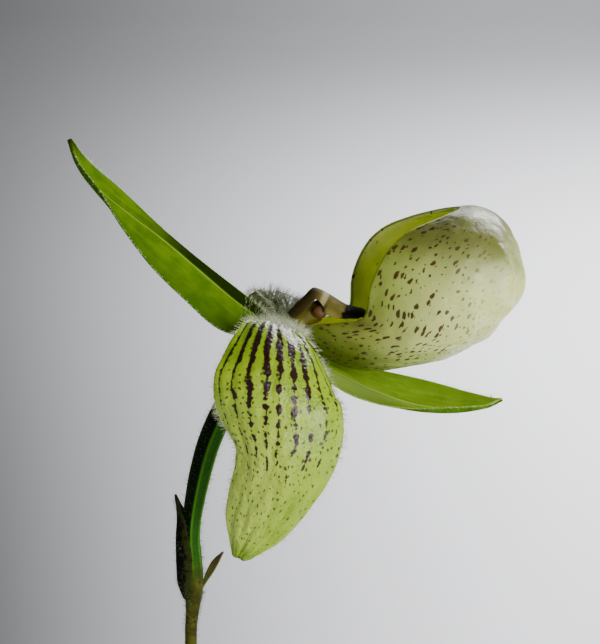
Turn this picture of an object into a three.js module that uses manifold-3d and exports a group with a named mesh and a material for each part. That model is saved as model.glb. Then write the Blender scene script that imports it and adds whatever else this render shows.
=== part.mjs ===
// A potted jade slipper orchid in flower: a clay pot of bark, a fan of strap leaves, and one tall
// hairy stalk that carries a bract, a ribbed seed vessel and a single slipper-shaped bloom.
// Millimetres, +Z up. The origin is the middle of the pot's underside, and the bloom faces +X.
import * as THREE from 'three';
import { mergeVertices } from 'three/addons/utils/BufferGeometryUtils.js';
import Module from 'manifold-3d';

const wasm = await Module();
wasm.setup();

// Driving dimensions of the pot and what fills it.
const POT_HEIGHT = 105;
const RIM_RADIUS = 60;
const RIM_BAND = 20;
const RIM_STEP = 3.5;
const FOOT_RADIUS = 43;
const WALL = 5;
const POT_FLOOR = 7;
const DRAIN_RADIUS = 5;
const DRAIN_CIRCLE = 24;
const DRAIN_COUNT = 4;
const BARK_LEVEL = 91;
const CHIP_COUNT = 44;
const CHIP_SIZE = 13;
const CHIP_TILT = 0.7;
const CHIP_NEAREST = 20;
const CHIP_FARTHEST = 43;
const GOLDEN_ANGLE = Math.PI * (3 - Math.sqrt(5));

// Driving dimensions of the plant.
const GAP = 0.3;
const CROWN_RADIUS = 13.2;
const CROWN_HEIGHT = 9;
const CROWN_TOP = BARK_LEVEL + 2;
const LEAF_THICK = 1.5;
const SCAPE_FOOT_RADIUS = 2.1;
const BLOOM = new THREE.Vector3(20, 0, 400);
const RECEPTACLE_RADIUS = 3.3;
const PETAL_THICK = 0.9;
const SEPAL_THICK = 0.9;
const LIP_THICK = 1.0;
const LIP_TURN = THREE.MathUtils.degToRad(11);
const LIP_ROLL = THREE.MathUtils.degToRad(9);
const LIP_HINGE = 3;

const COLOURS = {
  clay: 0xb5694a,
  bark: 0x5d4030,
  crown: 0x6f7a3c,
  leaf: 0x3f6b35,
  stalk: 0x4a6a2c,
  bract: 0x3f3a28,
  sepal: 0x6f9a2c,
  petal: 0xa3bf45,
  lip: 0xb9c777,
  column: 0xa99a4a,
  staminode: 0xe4ddb8,
};

// A repeatable stream of numbers from 0 to 1.
function randomStream(seed) {
  let state = seed;
  return () => {
    state = (state * 1664525 + 1013904223) % 4294967296;
    return state / 4294967296;
  };
}

// A smooth curve through rows of numbers, with t running from 0 at the first row to 1 at the last.
function through(rows, t) {
  const last = rows.length - 1;
  const x = Math.min(Math.max(t, 0), 1) * last;
  const i = Math.min(Math.floor(x), last - 1);
  const f = x - i;
  const b = rows[i];
  const c = rows[i + 1];
  const a = rows[i - 1] ?? b.map((v, k) => 2 * v - c[k]);
  const d = rows[i + 2] ?? c.map((v, k) => 2 * v - b[k]);
  return b.map(
    (v, k) =>
      v +
      0.5 * f * (c[k] - a[k]) +
      0.5 * f * f * (2 * a[k] - 5 * v + 4 * c[k] - d[k]) +
      0.5 * f ** 3 * (3 * v - a[k] - 3 * c[k] + d[k]),
  );
}

function directionAt(rows, t) {
  const step = 0.004;
  const before = new THREE.Vector3(...through(rows, Math.max(t - step, 0)));
  const after = new THREE.Vector3(...through(rows, Math.min(t + step, 1)));
  return after.sub(before).normalize();
}

// The middle line's place and directions at u, from a blade's rows of
// [x, y, z, left half-width, right half-width, roll, cup].
function bladeFrame(blade, u) {
  const row = through(blade.rows, u);
  const ahead = directionAt(blade.rows, u);
  const side = blade.across.clone().addScaledVector(ahead, -blade.across.dot(ahead)).normalize();
  side.applyAxisAngle(ahead, row[5]);
  return { row, centre: new THREE.Vector3(row[0], row[1], row[2]), side, face: ahead.clone().cross(side) };
}

// A point of a blade: u runs along it and v from -1 to 1 across it. The section is an arc that
// leans towards the face where cup is positive and away from it where cup is negative.
function bladePoint(blade, frame, u, v, level) {
  const [, , , left, right, , cup] = frame.row;
  const half = v < 0 ? left : right;
  const bend = Math.abs(cup) < 1e-4 ? 1e-4 : cup;
  const angle = bend * v;
  const wave = (blade.wave ?? 0) * u * v * v * Math.sin(2 * Math.PI * (blade.waves ?? 0) * u + 2.1 * v);
  const keel = (blade.keel ?? 0) * Math.exp(-((v / 0.13) ** 2)) * Math.sin(Math.PI * Math.sqrt(u));
  const rise = (half * (1 - Math.cos(angle))) / bend + wave;
  const outward = frame.face
    .clone()
    .multiplyScalar(Math.cos(angle))
    .addScaledVector(frame.side, -Math.sin(angle));
  const thin = 1 - 0.3 * v ** 4;
  const offset = level > 0 ? 0.5 * blade.thick * thin : -0.5 * blade.thick * thin - keel;
  return frame.centre
    .clone()
    .addScaledVector(frame.side, (half * Math.sin(angle)) / bend)
    .addScaledVector(frame.face, rise)
    .addScaledVector(outward, offset);
}

// A closed blade: the upper and lower faces are split alike, and a rim joins them.
function bladeGeometry(blade) {
  const { along: nu, acrossSteps: nv } = blade;
  const points = [];
  const index = [];
  const at = (level, i, j) => (level * (nu + 1) + i) * (nv + 1) + j;
  for (const level of [0, 1])
    for (let i = 0; i <= nu; i++) {
      const u = i / nu;
      const frame = bladeFrame(blade, u);
      for (let j = 0; j <= nv; j++) points.push(bladePoint(blade, frame, u, (2 * j) / nv - 1, level));
    }
  const quad = (a, b, c, d) => index.push(a, b, d, b, c, d);
  for (let i = 0; i < nu; i++)
    for (let j = 0; j < nv; j++) {
      const [a, b, c, d] = [[i, j], [i + 1, j], [i + 1, j + 1], [i, j + 1]];
      index.push(at(1, ...a), at(1, ...b), at(1, ...d), at(1, ...b), at(1, ...c), at(1, ...d));
      index.push(at(0, ...a), at(0, ...d), at(0, ...b), at(0, ...b), at(0, ...d), at(0, ...c));
    }
  for (let i = 0; i < nu; i++) {
    quad(at(1, i + 1, 0), at(1, i, 0), at(0, i, 0), at(0, i + 1, 0));
    quad(at(1, i, nv), at(1, i + 1, nv), at(0, i + 1, nv), at(0, i, nv));
  }
  for (let j = 0; j < nv; j++) {
    quad(at(1, 0, j), at(1, 0, j + 1), at(0, 0, j + 1), at(0, 0, j));
    quad(at(1, nu, j + 1), at(1, nu, j), at(0, nu, j), at(0, nu, j + 1));
  }
  return geometryOf(points, index);
}

function geometryOf(points, index) {
  return new THREE.BufferGeometry().setFromPoints(points).setIndex(index);
}

// A closed skin over a stack of rings that hold the same number of points each.
function ringGeometry(rings, startPole, endPole) {
  const sides = rings[0].length;
  const points = [...rings.flat(), startPole, endPole];
  const index = [];
  const at = (i, j) => i * sides + (j % sides);
  const [start, end] = [points.length - 2, points.length - 1];
  for (let i = 0; i < rings.length - 1; i++)
    for (let j = 0; j < sides; j++) {
      index.push(at(i, j), at(i, j + 1), at(i + 1, j));
      index.push(at(i, j + 1), at(i + 1, j + 1), at(i + 1, j));
    }
  for (let j = 0; j < sides; j++) {
    index.push(start, at(0, j + 1), at(0, j));
    index.push(end, at(rings.length - 1, j), at(rings.length - 1, j + 1));
  }
  return geometryOf(points, index);
}

// A tube of changing radius along rows of [x, y, z, radius], with ribs whose depth changes along it.
function stalkGeometry(rows, steps, sides, ribDepth) {
  const rings = [];
  const poles = [];
  for (let i = 0; i <= steps; i++) {
    const t = i / steps;
    const [x, y, z, radius] = through(rows, t);
    const ahead = directionAt(rows, t);
    const side = new THREE.Vector3(0, -1, 0).addScaledVector(ahead, ahead.y).normalize();
    const back = ahead.clone().cross(side);
    const centre = new THREE.Vector3(x, y, z);
    const ribbed = ribDepth(t);
    rings.push(
      Array.from({ length: sides }, (_, j) => {
        const angle = (2 * Math.PI * j) / sides;
        const r = radius + ribbed * (j % 2 ? -1 : 1);
        return centre
          .clone()
          .addScaledVector(side, r * Math.cos(angle))
          .addScaledVector(back, r * Math.sin(angle));
      }),
    );
    poles.push(centre);
  }
  return ringGeometry(rings, poles[0], poles[steps]);
}

// Closed meshes become solids for joins and cuts, and come back as geometry.
function solidOf(geometry) {
  const bare = geometry.clone();
  bare.deleteAttribute('normal');
  bare.deleteAttribute('uv');
  const merged = mergeVertices(bare, 1e-4);
  return new wasm.Manifold(
    new wasm.Mesh({
      numProp: 3,
      vertProperties: new Float32Array(merged.attributes.position.array),
      triVerts: new Uint32Array(merged.index.array),
    }),
  );
}

function geometryOfSolid(solid) {
  const mesh = solid.getMesh();
  const points = [];
  for (let i = 0; i < mesh.numVert; i++) {
    const at = i * mesh.numProp;
    points.push(new THREE.Vector3(...mesh.vertProperties.subarray(at, at + 3)));
  }
  return geometryOf(points, [...mesh.triVerts]);
}

function cylinderUp(radius, low, high, sides) {
  return new THREE.CylinderGeometry(radius, radius, high - low, sides)
    .rotateX(Math.PI / 2)
    .translate(0, 0, (low + high) / 2);
}

function meshOf(name, geometry, colour, roughness) {
  geometry.computeVertexNormals();
  const mesh = new THREE.Mesh(
    geometry,
    new THREE.MeshStandardMaterial({ color: colour, roughness, metalness: 0, side: THREE.DoubleSide }),
  );
  mesh.name = name;
  return mesh;
}

// The pot: a tapered clay wall with a banded rim, turned on a wheel, with holes in its floor.
function potWallAt(height) {
  const taper = (RIM_RADIUS - RIM_STEP - FOOT_RADIUS) / (POT_HEIGHT - RIM_BAND);
  return FOOT_RADIUS + taper * height;
}

function makePot() {
  const bandFoot = POT_HEIGHT - RIM_BAND;
  const profile = [
    [0, 0],
    [FOOT_RADIUS - 1.5, 0],
    [FOOT_RADIUS, 1.5],
    [potWallAt(bandFoot), bandFoot],
    [RIM_RADIUS - 1.2, bandFoot + 1],
    [RIM_RADIUS, bandFoot + 3],
    [RIM_RADIUS + 0.6, POT_HEIGHT - 2.5],
    [RIM_RADIUS - 1, POT_HEIGHT - 0.4],
    [RIM_RADIUS - 3.5, POT_HEIGHT],
    [RIM_RADIUS - 7, POT_HEIGHT - 1.5],
    [potWallAt(bandFoot) - WALL, bandFoot - 4],
    [potWallAt(POT_FLOOR + 4) - WALL, POT_FLOOR + 4],
    [potWallAt(POT_FLOOR) - WALL - 4, POT_FLOOR],
    [0, POT_FLOOR],
  ].map(([r, z]) => new THREE.Vector2(r, z));
  let pot = solidOf(new THREE.LatheGeometry(profile, 40).rotateX(Math.PI / 2));
  for (let i = 0; i < DRAIN_COUNT; i++) {
    const angle = Math.PI / 4 + (2 * Math.PI * i) / DRAIN_COUNT;
    const drain = cylinderUp(DRAIN_RADIUS, -2, POT_FLOOR + 2, 12).translate(
      DRAIN_CIRCLE * Math.cos(angle),
      DRAIN_CIRCLE * Math.sin(angle),
      0,
    );
    pot = pot.subtract(solidOf(drain));
  }
  return meshOf('pot', geometryOfSolid(pot), COLOURS.clay, 0.85);
}

// One piece of broken bark: a flat block with its corners knocked about.
function chipGeometry(random) {
  const chip = new THREE.BoxGeometry(
    CHIP_SIZE * (0.7 + 0.6 * random()),
    CHIP_SIZE * (0.45 + 0.45 * random()),
    CHIP_SIZE * (0.3 + 0.25 * random()),
  );
  chip.deleteAttribute('normal');
  chip.deleteAttribute('uv');
  const block = mergeVertices(chip);
  const place = block.attributes.position;
  for (let i = 0; i < place.count; i++)
    place.setXYZ(
      i,
      place.getX(i) * (0.72 + 0.5 * random()),
      place.getY(i) * (0.72 + 0.5 * random()),
      place.getZ(i) * (0.75 + 0.5 * random()),
    );
  return block;
}

// The potting bark: a plug that fills the pot, with loose chips on top and a plain hole for the crown.
function makeBark() {
  const random = randomStream(8);
  const inside = (z) => potWallAt(z) - WALL - GAP;
  const top = BARK_LEVEL;
  const wallTop = POT_HEIGHT - RIM_BAND - 4;
  const profile = [
    [0, POT_FLOOR + GAP],
    [inside(POT_FLOOR) - 4.2, POT_FLOOR + GAP],
    [inside(POT_FLOOR + 4.5), POT_FLOOR + 4.6],
    [inside(wallTop) - 0.2, wallTop],
    [inside(wallTop) - 0.4, top],
    [0, top],
  ].map(([r, z]) => new THREE.Vector2(r, z));
  let bark = solidOf(new THREE.LatheGeometry(profile, 30).rotateX(Math.PI / 2));
  for (let i = 0; i < CHIP_COUNT; i++) {
    const angle = i * GOLDEN_ANGLE;
    const radius = CHIP_NEAREST + (CHIP_FARTHEST - CHIP_NEAREST) * Math.sqrt((i + 0.5) / CHIP_COUNT);
    const lean = () => CHIP_TILT * (random() - 0.5);
    const turn = new THREE.Euler(lean(), lean(), 2 * Math.PI * random());
    const chip = chipGeometry(random);
    chip.applyMatrix4(new THREE.Matrix4().makeRotationFromEuler(turn));
    chip.translate(radius * Math.cos(angle), radius * Math.sin(angle), BARK_LEVEL + 1.8 * random() - 0.8);
    bark = bark.add(solidOf(chip));
  }
  const socket = cylinderUp(CROWN_RADIUS + GAP, CROWN_TOP - CROWN_HEIGHT - GAP, POT_HEIGHT, 24);
  bark = bark.subtract(solidOf(socket));
  const keep = cylinderUp(inside(wallTop) - 0.3, 0, POT_HEIGHT + 20, 40);
  return meshOf('potting_bark', geometryOfSolid(bark.intersect(solidOf(keep))), COLOURS.bark, 0.95);
}

// The crown: the short stem in the bark that the leaves and the stalk grow from.
function makeCrown() {
  const foot = CROWN_TOP - CROWN_HEIGHT;
  const profile = [
    [0, foot],
    [CROWN_RADIUS - 3, foot],
    [CROWN_RADIUS - 0.2, foot + 3],
    [CROWN_RADIUS - 0.2, CROWN_TOP - 1],
    [CROWN_RADIUS - 0.8, CROWN_TOP],
    [0, CROWN_TOP],
  ].map(([r, z]) => new THREE.Vector2(r, z));
  return meshOf('crown', new THREE.LatheGeometry(profile, 24).rotateX(Math.PI / 2), COLOURS.crown, 0.6);
}

// The leaves stand in two ranks. Each has the radius of its sheath, how far it wraps its neighbours
// before it leans out, the compass heading of its tip, its length and half-width, and the angle
// above level at which it ends, in degrees.
const LEAVES = [
  { sheath: 4.8, wrap: 24, heading: 197, length: 100, half: 12.5, fall: 34 },
  { sheath: 4.8, wrap: 21, heading: 20, length: 112, half: 13.5, fall: 16 },
  { sheath: 7.2, wrap: 15, heading: 204, length: 136, half: 15.5, fall: -4 },
  { sheath: 7.2, wrap: 12, heading: 12, length: 144, half: 16.5, fall: -14 },
  { sheath: 9.6, wrap: 8, heading: 190, length: 150, half: 17, fall: -26 },
  { sheath: 9.6, wrap: 6, heading: 30, length: 146, half: 17, fall: -34 },
  { sheath: 11.9, wrap: 3, heading: 210, length: 122, half: 16, fall: -42 },
];
const NEAR = new THREE.Vector3(0, -1, 0);
const FAR = new THREE.Vector3(0, 1, 0);
const LEAF_STATIONS = 12;
const SHEATH_WRAP = 1.2;
const LEAF_FOLD = 0.34;

function leafRows(leaf) {
  const rows = [];
  const place = [leaf.sheath, CROWN_TOP + GAP];
  const pieces = 8;
  const wrap = leaf.wrap / leaf.length;
  const sheathHalf = SHEATH_WRAP * leaf.sheath;
  for (let i = 0; i <= LEAF_STATIONS; i++) {
    const u = i / LEAF_STATIONS;
    const open = THREE.MathUtils.smoothstep(u, wrap, wrap + 0.36);
    const blunt = u < 0.58 ? 1 : Math.sqrt(Math.max(1 - ((u - 0.58) / 0.42) ** 2.3, 0));
    const half = Math.max((sheathHalf + (leaf.half - sheathHalf) * open) * blunt, 0.7);
    const cup = SHEATH_WRAP + (LEAF_FOLD - SHEATH_WRAP) * open;
    rows.push([place[0], 0, place[1], half, half, 0, cup]);
    for (let k = 0; k < pieces; k++) {
      const s = u + (k + 0.5) / (pieces * LEAF_STATIONS);
      const bent = 1 - (1 - Math.max(s - wrap, 0) / (1 - wrap)) ** 1.4;
      const angle = THREE.MathUtils.degToRad(90 - (90 - leaf.fall) * bent);
      const step = leaf.length / (pieces * LEAF_STATIONS);
      place[0] += step * Math.cos(angle);
      place[1] += step * Math.sin(angle);
    }
  }
  return rows;
}

function makeLeaf(leaf, i) {
  const blade = {
    rows: leafRows(leaf),
    across: FAR,
    thick: LEAF_THICK,
    keel: 0.6,
    wave: 0.6,
    waves: 2.2,
    along: 16,
    acrossSteps: 6,
  };
  const mesh = meshOf('leaf_' + (i + 1), bladeGeometry(blade), COLOURS.leaf, 0.45);
  mesh.rotation.z = THREE.MathUtils.degToRad(leaf.heading);
  return mesh;
}

// The stalk: the scape from the crown, then the ribbed seed vessel that bows over to the bloom.
// Rows of [x, y, z, radius], from the bloom's own place.
const STALK_ROWS = [
  [-20, 0, CROWN_TOP + GAP - BLOOM.z, SCAPE_FOOT_RADIUS],
  [-18.6, 0.5, -270, 1.8],
  [-17.9, 0.9, -226, 1.6],
  [-18.5, 0.8, -180, 1.4],
  [-19.6, 0.4, -134, 1.3],
  [-20.4, 0.1, -98, 1.2],
  [-20.8, 0, -68, 1.25],
  [-20.5, 0, -61, 1.32],
  [-20.05, 0, -56, 1.8],
  [-20, 0, -52, 1.95],
  [-20.15, 0, -48, 1.9],
  [-20.4, 0, -43.5, 1.85],
  [-20, 0, -38, 2.0],
  [-18.5, 0, -30, 2.25],
  [-16.3, 0, -22.2, 2.35],
  [-13, 0, -15, 2.4],
  [-8.6, 0, -8.2, 2.45],
  [-2.6, 0, -1.4, 2.5],
];
const RECEPTACLE = new THREE.Vector3(-1.6, 0, 0);

function makeStalk() {
  const ribs = (t) => 0.22 * THREE.MathUtils.smoothstep(t, 0.62, 0.72);
  const tube = solidOf(stalkGeometry(STALK_ROWS, 50, 12, ribs));
  const head = new THREE.IcosahedronGeometry(RECEPTACLE_RADIUS, 2).translate(...RECEPTACLE.toArray());
  return meshOf('flower_stalk', geometryOfSolid(tube.add(solidOf(head))), COLOURS.stalk, 0.7);
}

// A rounded clearance that keeps the bloom's pieces off the head of the stalk.
function clearOfStalk(geometry) {
  const room = new THREE.IcosahedronGeometry(RECEPTACLE_RADIUS + GAP + 0.05, 2);
  room.translate(...RECEPTACLE.toArray());
  return geometryOfSolid(solidOf(geometry).subtract(solidOf(room)));
}

// Bloom pieces: rows of [x, y, z, left half-width, right half-width, roll, cup] from the bloom's place.
const BRACT = {
  rows: [
    [-22.5, 0, -56.2, 2.6, 2.6, 0, 1.3],
    [-23.1, 0, -53.8, 4.2, 4.2, 0, 1.6],
    [-23.35, 0, -50.5, 4.8, 4.8, 0, 1.7],
    [-23.4, 0, -46.5, 4.9, 4.9, 0, 1.7],
    [-23.35, 0, -43, 4.2, 4.2, 0, 1.5],
    [-23.1, 0, -39, 3.1, 3.1, 0, 1.15],
    [-23.2, 0, -36.4, 1.7, 1.7, 0, 0.7],
    [-23.5, 0, -34.1, 0.35, 0.35, 0, 0.5],
  ],
  across: NEAR,
  thick: 0.65,
  along: 10,
  acrossSteps: 6,
};
const BRACTLET = {
  rows: [
    [-17.45, 0, -53.2, 0.4, 0.4, 0.9, 0.5],
    [-16.7, 0, -51.2, 0.85, 0.85, 0.9, 0.5],
    [-15.5, 0, -49.0, 0.8, 0.8, 0.9, 0.4],
    [-13.9, 0, -46.7, 0.3, 0.3, 0.9, 0.3],
  ],
  across: FAR,
  thick: 0.65,
  along: 6,
  acrossSteps: 4,
};
const DORSAL_SEPAL = {
  rows: [
    [-3.6, 0, 1.7, 2.2, 2.6, -0.14, 0.2],
    [-6.8, 0, 3.9, 4.0, 7.2, -0.28, 0],
    [-11.0, 0, 6.9, 6.4, 9.9, -0.28, -0.3],
    [-17.6, 0, 12.7, 9.6, 9.6, -0.2, -0.5],
    [-25.4, 0, 19.6, 9.4, 8.8, -0.18, -0.45],
    [-32.6, 0, 25.2, 7.6, 7.0, -0.15, 0.05],
    [-38.0, 0, 30.0, 5.2, 5.2, -0.1, 0.7],
    [-41.4, 0, 34.8, 3.0, 3.0, -0.1, 0.9],
    [-43.1, 0, 39.7, 0.45, 0.45, -0.1, 0.8],
  ],
  across: NEAR,
  thick: SEPAL_THICK,
  keel: 0.5,
  wave: 0.25,
  waves: 1.5,
  along: 18,
  acrossSteps: 6,
};
const SYNSEPAL = {
  rows: [
    [0.2, 0, -2.4, 2.6, 2.6, 0, 0.2],
    [4.6, 0, -5.2, 5.6, 5.6, 0.04, 0.1],
    [10.4, 0, -8.5, 8.4, 8.4, 0.08, 0.05],
    [17.6, 0, -12.0, 9.4, 9.4, 0.08, 0.25],
    [25.2, 0, -14.7, 8.8, 8.8, 0.06, 0.6],
    [32.6, 0, -15.7, 6.8, 6.8, 0.02, 0.85],
    [39.2, 0, -15.0, 3.8, 3.8, 0, 0.75],
    [42.8, 0, -13.6, 0.5, 0.5, 0, 0.6],
  ],
  across: FAR,
  thick: SEPAL_THICK,
  keel: 0.45,
  wave: 0.2,
  waves: 1.5,
  along: 18,
  acrossSteps: 6,
};
const PETAL = {
  rows: [
    [-0.9, -2.6, 0.2, 1.9, 2.2, 0, 0.2],
    [-1.1, -7.2, 3.8, 3.2, 3.8, 0, -0.1],
    [-2.0, -12.5, 5.3, 6.6, 6.2, 0, -0.35],
    [-2.0, -17.5, 3.6, 9.6, 9.0, 0, -0.55],
    [-1.8, -22.5, 0.0, 12.6, 11.4, 0, -0.7],
    [-1.8, -26.0, -5.0, 13.4, 13.0, 0, -0.8],
    [-1.8, -27.0, -11.2, 12.2, 13.6, 0, -0.8],
    [-2.6, -26.4, -18.3, 8.4, 12.4, 0, -0.7],
    [-4.4, -24.0, -26.3, 8.0, 9.4, 0, -0.6],
    [-6.8, -20.5, -34.2, 6.5, 6.2, 0, -0.5],
    [-9.9, -16.5, -41.2, 1.9, 2.2, 0, -0.4],
  ],
  across: new THREE.Vector3(0.95, 0, -0.3),
  thick: PETAL_THICK,
  wave: 0.4,
  waves: 2.4,
  along: 22,
  acrossSteps: 8,
};

function makeBlade(name, blade, colour, roughness) {
  return meshOf(name, clearOfStalk(bladeGeometry(blade)), colour, roughness);
}

// The left petal is the right one seen in a mirror, a little less bowed and narrower behind.
const LEFT_NARROWER = 0.68;
function leftPetal() {
  const rows = PETAL.rows.map(([x, y, z, left, right, roll, cup], i) => [
    x - 0.1 * i,
    -y,
    z + 0.12 * i - 0.6,
    right,
    LEFT_NARROWER * left,
    -roll,
    cup,
  ]);
  return { ...PETAL, rows, across: PETAL.across.clone().negate() };
}

// The lip: a pouch drawn as rings from its mouth to its blind end. A ring runs from the keel side
// to the front, and each row holds [keel x, keel z, front x, front z, half-width].
const LIP_RINGS = [
  [1.4, -0.7, 35.6, 24.6, 9.4],
  [6.4, -4.7, 39.4, 24.7, 13.4],
  [13.4, -7.7, 43.4, 22.9, 16.0],
  [21.8, -7.9, 46.2, 19.4, 16.9],
  [29.8, -6.6, 47.5, 15.2, 15.8],
  [36.6, -3.7, 47.7, 11.0, 12.6],
  [42.2, 0.6, 47.0, 7.8, 7.2],
  [45.7, 4.6, 45.7, 4.6, 0.02],
];
// How far the margin stands above the straight line from the mouth's keel side to its front.
const LIP_MARGIN = [[0.1], [0.6], [-1.7], [-3.5], [0.6], [3.2], [4.6], [4.6], [3.4], [1.8], [0]];

// The way into the pouch from its blind end.
const LIP_POLE_INWARD = new THREE.Vector3(-0.86, 0, 0.5);

// A point of the pouch's outer skin: s runs from the mouth to the blind end, and turn goes round
// the ring from the keel.
function lipPoint(s, turn) {
  const [keelX, keelZ, frontX, frontZ, half] = through(LIP_RINGS, s);
  const t = (1 - Math.cos(turn)) / 2;
  const chord = new THREE.Vector2(frontX - keelX, frontZ - keelZ);
  const length = Math.max(chord.length(), 1e-3);
  const [margin] = through(LIP_MARGIN, t);
  const lift = (margin * (1 - s) ** 2.2) / length;
  return new THREE.Vector3(
    keelX + chord.x * t - chord.y * lift,
    half * Math.sin(turn) * (1 - 0.22 * Math.cos(turn)),
    keelZ + chord.y * t + chord.x * lift,
  );
}

// The pouch's wall: the outer skin's rings, and the same points one wall thickness further in.
function makeLip() {
  const stations = 13;
  const sides = 26;
  const spread = (t) => t * (1.25 - 0.25 * t);
  const angles = Array.from({ length: sides }, (_, j) => (2 * Math.PI * j) / sides);
  const outer = Array.from({ length: stations }, (_, i) =>
    angles.map((angle) => lipPoint(spread(i / stations), angle)),
  );
  const outerPole = lipPoint(1, 0);
  const inner = outer.map((ring, i) =>
    ring.map((point, j) => {
      const next = i + 1 < stations ? outer[i + 1][j] : outerPole;
      const beside = ring[(j + 1) % sides];
      const inward = next.clone().sub(point).cross(beside.clone().sub(point)).normalize();
      return point.clone().addScaledVector(inward, LIP_THICK);
    }),
  );
  const innerPole = outerPole.clone().add(LIP_POLE_INWARD.clone().multiplyScalar(LIP_THICK));
  const geometry = ringGeometry([...inner.reverse(), ...outer], innerPole, outerPole);
  geometry.translate(-LIP_HINGE, 0, 0);
  geometry.rotateX(-LIP_ROLL);
  geometry.rotateZ(LIP_TURN);
  geometry.translate(LIP_HINGE, 0, 0);
  return meshOf('lip_pouch', clearOfStalk(geometry), COLOURS.lip, 0.35);
}

// The column: a short stout post with an anther on each side, under the staminode's shield.
const COLUMN_ROWS = [
  [0.8, 0, 1.9, 1.7],
  [2.2, 0, 3.1, 1.9],
  [3.6, 0, 4.1, 2.0],
  [5.2, 0, 4.6, 2.0],
  [6.8, 0, 4.4, 1.4],
];
const ANTHER = new THREE.Vector3(5.9, 2.2, 5.4);
const ANTHER_RADIUS = 1.35;

function makeColumn() {
  let column = solidOf(stalkGeometry(COLUMN_ROWS, 6, 10, () => 0));
  for (const side of [-1, 1]) {
    const anther = new THREE.IcosahedronGeometry(ANTHER_RADIUS, 1);
    anther.scale(1.15, 0.8, 1).translate(ANTHER.x, side * ANTHER.y, ANTHER.z);
    column = column.add(solidOf(anther));
  }
  return meshOf('column', clearOfStalk(geometryOfSolid(column)), COLOURS.column, 0.5);
}

const STAMINODE = {
  rows: [
    [-0.2, 0, 4.55, 2.4, 2.4, 0, -1.0],
    [1.4, 0, 6.3, 3.1, 3.2, 0, -1.1],
    [3.1, 0, 7.95, 3.0, 3.9, 0, -1.1],
    [4.6, 0, 9.4, 2.7, 4.6, 0, -1.1],
    [6.2, 0, 9.0, 2.8, 4.9, 0, -1.1],
    [7.5, 0, 8.3, 3.7, 5.1, 0, -1.1],
    [8.3, 0, 7.8, 5.1, 5.2, 0, -1.1],
    [9.5, 0, 7.0, 4.9, 4.9, 0, -1.1],
    [10.8, 0, 6.2, 4.1, 4.1, 0, -1.05],
    [12.6, 0, 5.6, 3.2, 3.2, 0, -1.0],
    [14.1, 0, 5.3, 2.7, 2.7, 0, -1.0],
    [15.0, 0, 4.8, 1.9, 1.9, 0, -0.8],
  ],
  across: FAR,
  thick: 0.8,
  along: 18,
  acrossSteps: 6,
};

const bloom = new THREE.Group();
bloom.position.copy(BLOOM);
bloom.add(
  makeStalk(),
  meshOf('bract', bladeGeometry(BRACT), COLOURS.bract, 0.7),
  meshOf('bractlet', bladeGeometry(BRACTLET), COLOURS.bract, 0.7),
  makeBlade('dorsal_sepal', DORSAL_SEPAL, COLOURS.sepal, 0.5),
  makeBlade('synsepal', SYNSEPAL, COLOURS.sepal, 0.5),
  makeBlade('petal_right', PETAL, COLOURS.petal, 0.5),
  makeBlade('petal_left', leftPetal(), COLOURS.petal, 0.5),
  makeLip(),
  makeColumn(),
  meshOf('staminode', bladeGeometry(STAMINODE), COLOURS.staminode, 0.4),
);

const orchid = new THREE.Group();
orchid.add(makePot(), makeBark(), makeCrown(), ...LEAVES.map(makeLeaf), bloom);

export default orchid;
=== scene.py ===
# %% [markdown]
# # A slipper orchid in its pot
#
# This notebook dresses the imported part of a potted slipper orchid: a clay pot of bark, a fan of
# mottled leaves, and one hairy stalk with a single green bloom. The shapes come from the same
# formulas as the solids, drawn with finer grids, and every surface gets a material made of nodes.
# Lengths are written in millimetres and turned into metres where a mesh is made.

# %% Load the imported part
import math
import random

import bmesh
import bpy
from mathutils import Matrix, Vector, noise


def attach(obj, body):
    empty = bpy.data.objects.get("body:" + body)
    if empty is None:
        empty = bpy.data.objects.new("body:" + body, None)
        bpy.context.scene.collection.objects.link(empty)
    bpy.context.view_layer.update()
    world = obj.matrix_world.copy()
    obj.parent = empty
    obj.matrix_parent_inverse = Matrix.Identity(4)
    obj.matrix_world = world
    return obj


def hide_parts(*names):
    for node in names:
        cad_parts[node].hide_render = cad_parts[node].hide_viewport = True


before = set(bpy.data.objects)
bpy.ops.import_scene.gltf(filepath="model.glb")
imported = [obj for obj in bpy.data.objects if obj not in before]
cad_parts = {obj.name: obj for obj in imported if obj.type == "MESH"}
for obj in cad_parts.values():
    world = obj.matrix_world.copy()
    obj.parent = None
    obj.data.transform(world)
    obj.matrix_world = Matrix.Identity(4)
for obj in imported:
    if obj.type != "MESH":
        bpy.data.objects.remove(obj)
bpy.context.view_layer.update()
print("view transform:", bpy.context.scene.view_settings.view_transform)
MM = 0.001
BLOOM = Vector((20, 0, 400))

# %% [markdown]
# ## The camera
#
# The photograph looks along +Y at the bloom from a little above it, from less than half a metre
# away. A long lens on a full-frame sensor gives the same gentle perspective.

# %% Place the camera
camera_data = bpy.data.cameras.new("photo_camera")
camera_data.sensor_width = 36
camera_data.lens = 117.39
camera = bpy.data.objects.new("photo_camera", camera_data)
camera.location = Vector((22.0, -403.73, 518.47)) * MM
camera.rotation_euler = (math.radians(74), 0, 0)
bpy.context.collection.objects.link(camera)
bpy.context.scene.camera = camera
print("camera", tuple(round(c, 3) for c in camera.location))

# %% [markdown]
# ## Wiring materials
#
# A material is a graph of small nodes. These helpers add one node at a time and connect its inputs
# by name, so that a finish reads as a short list of steps.


# %% Helpers that add and connect nodes
def add(tree, kind, inputs=None, **settings):
    node = tree.nodes.new(kind)
    for name, value in settings.items():
        setattr(node, name, value)
    for name, value in (inputs or {}).items():
        socket = node.inputs[name]
        if isinstance(value, bpy.types.NodeSocket):
            tree.links.new(value, socket)
        else:
            socket.default_value = value
    return node


def maths(tree, operation, *values, clamp=False):
    node = add(tree, "ShaderNodeMath", dict(enumerate(values)), operation=operation, use_clamp=clamp)
    return node.outputs[0]


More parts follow.
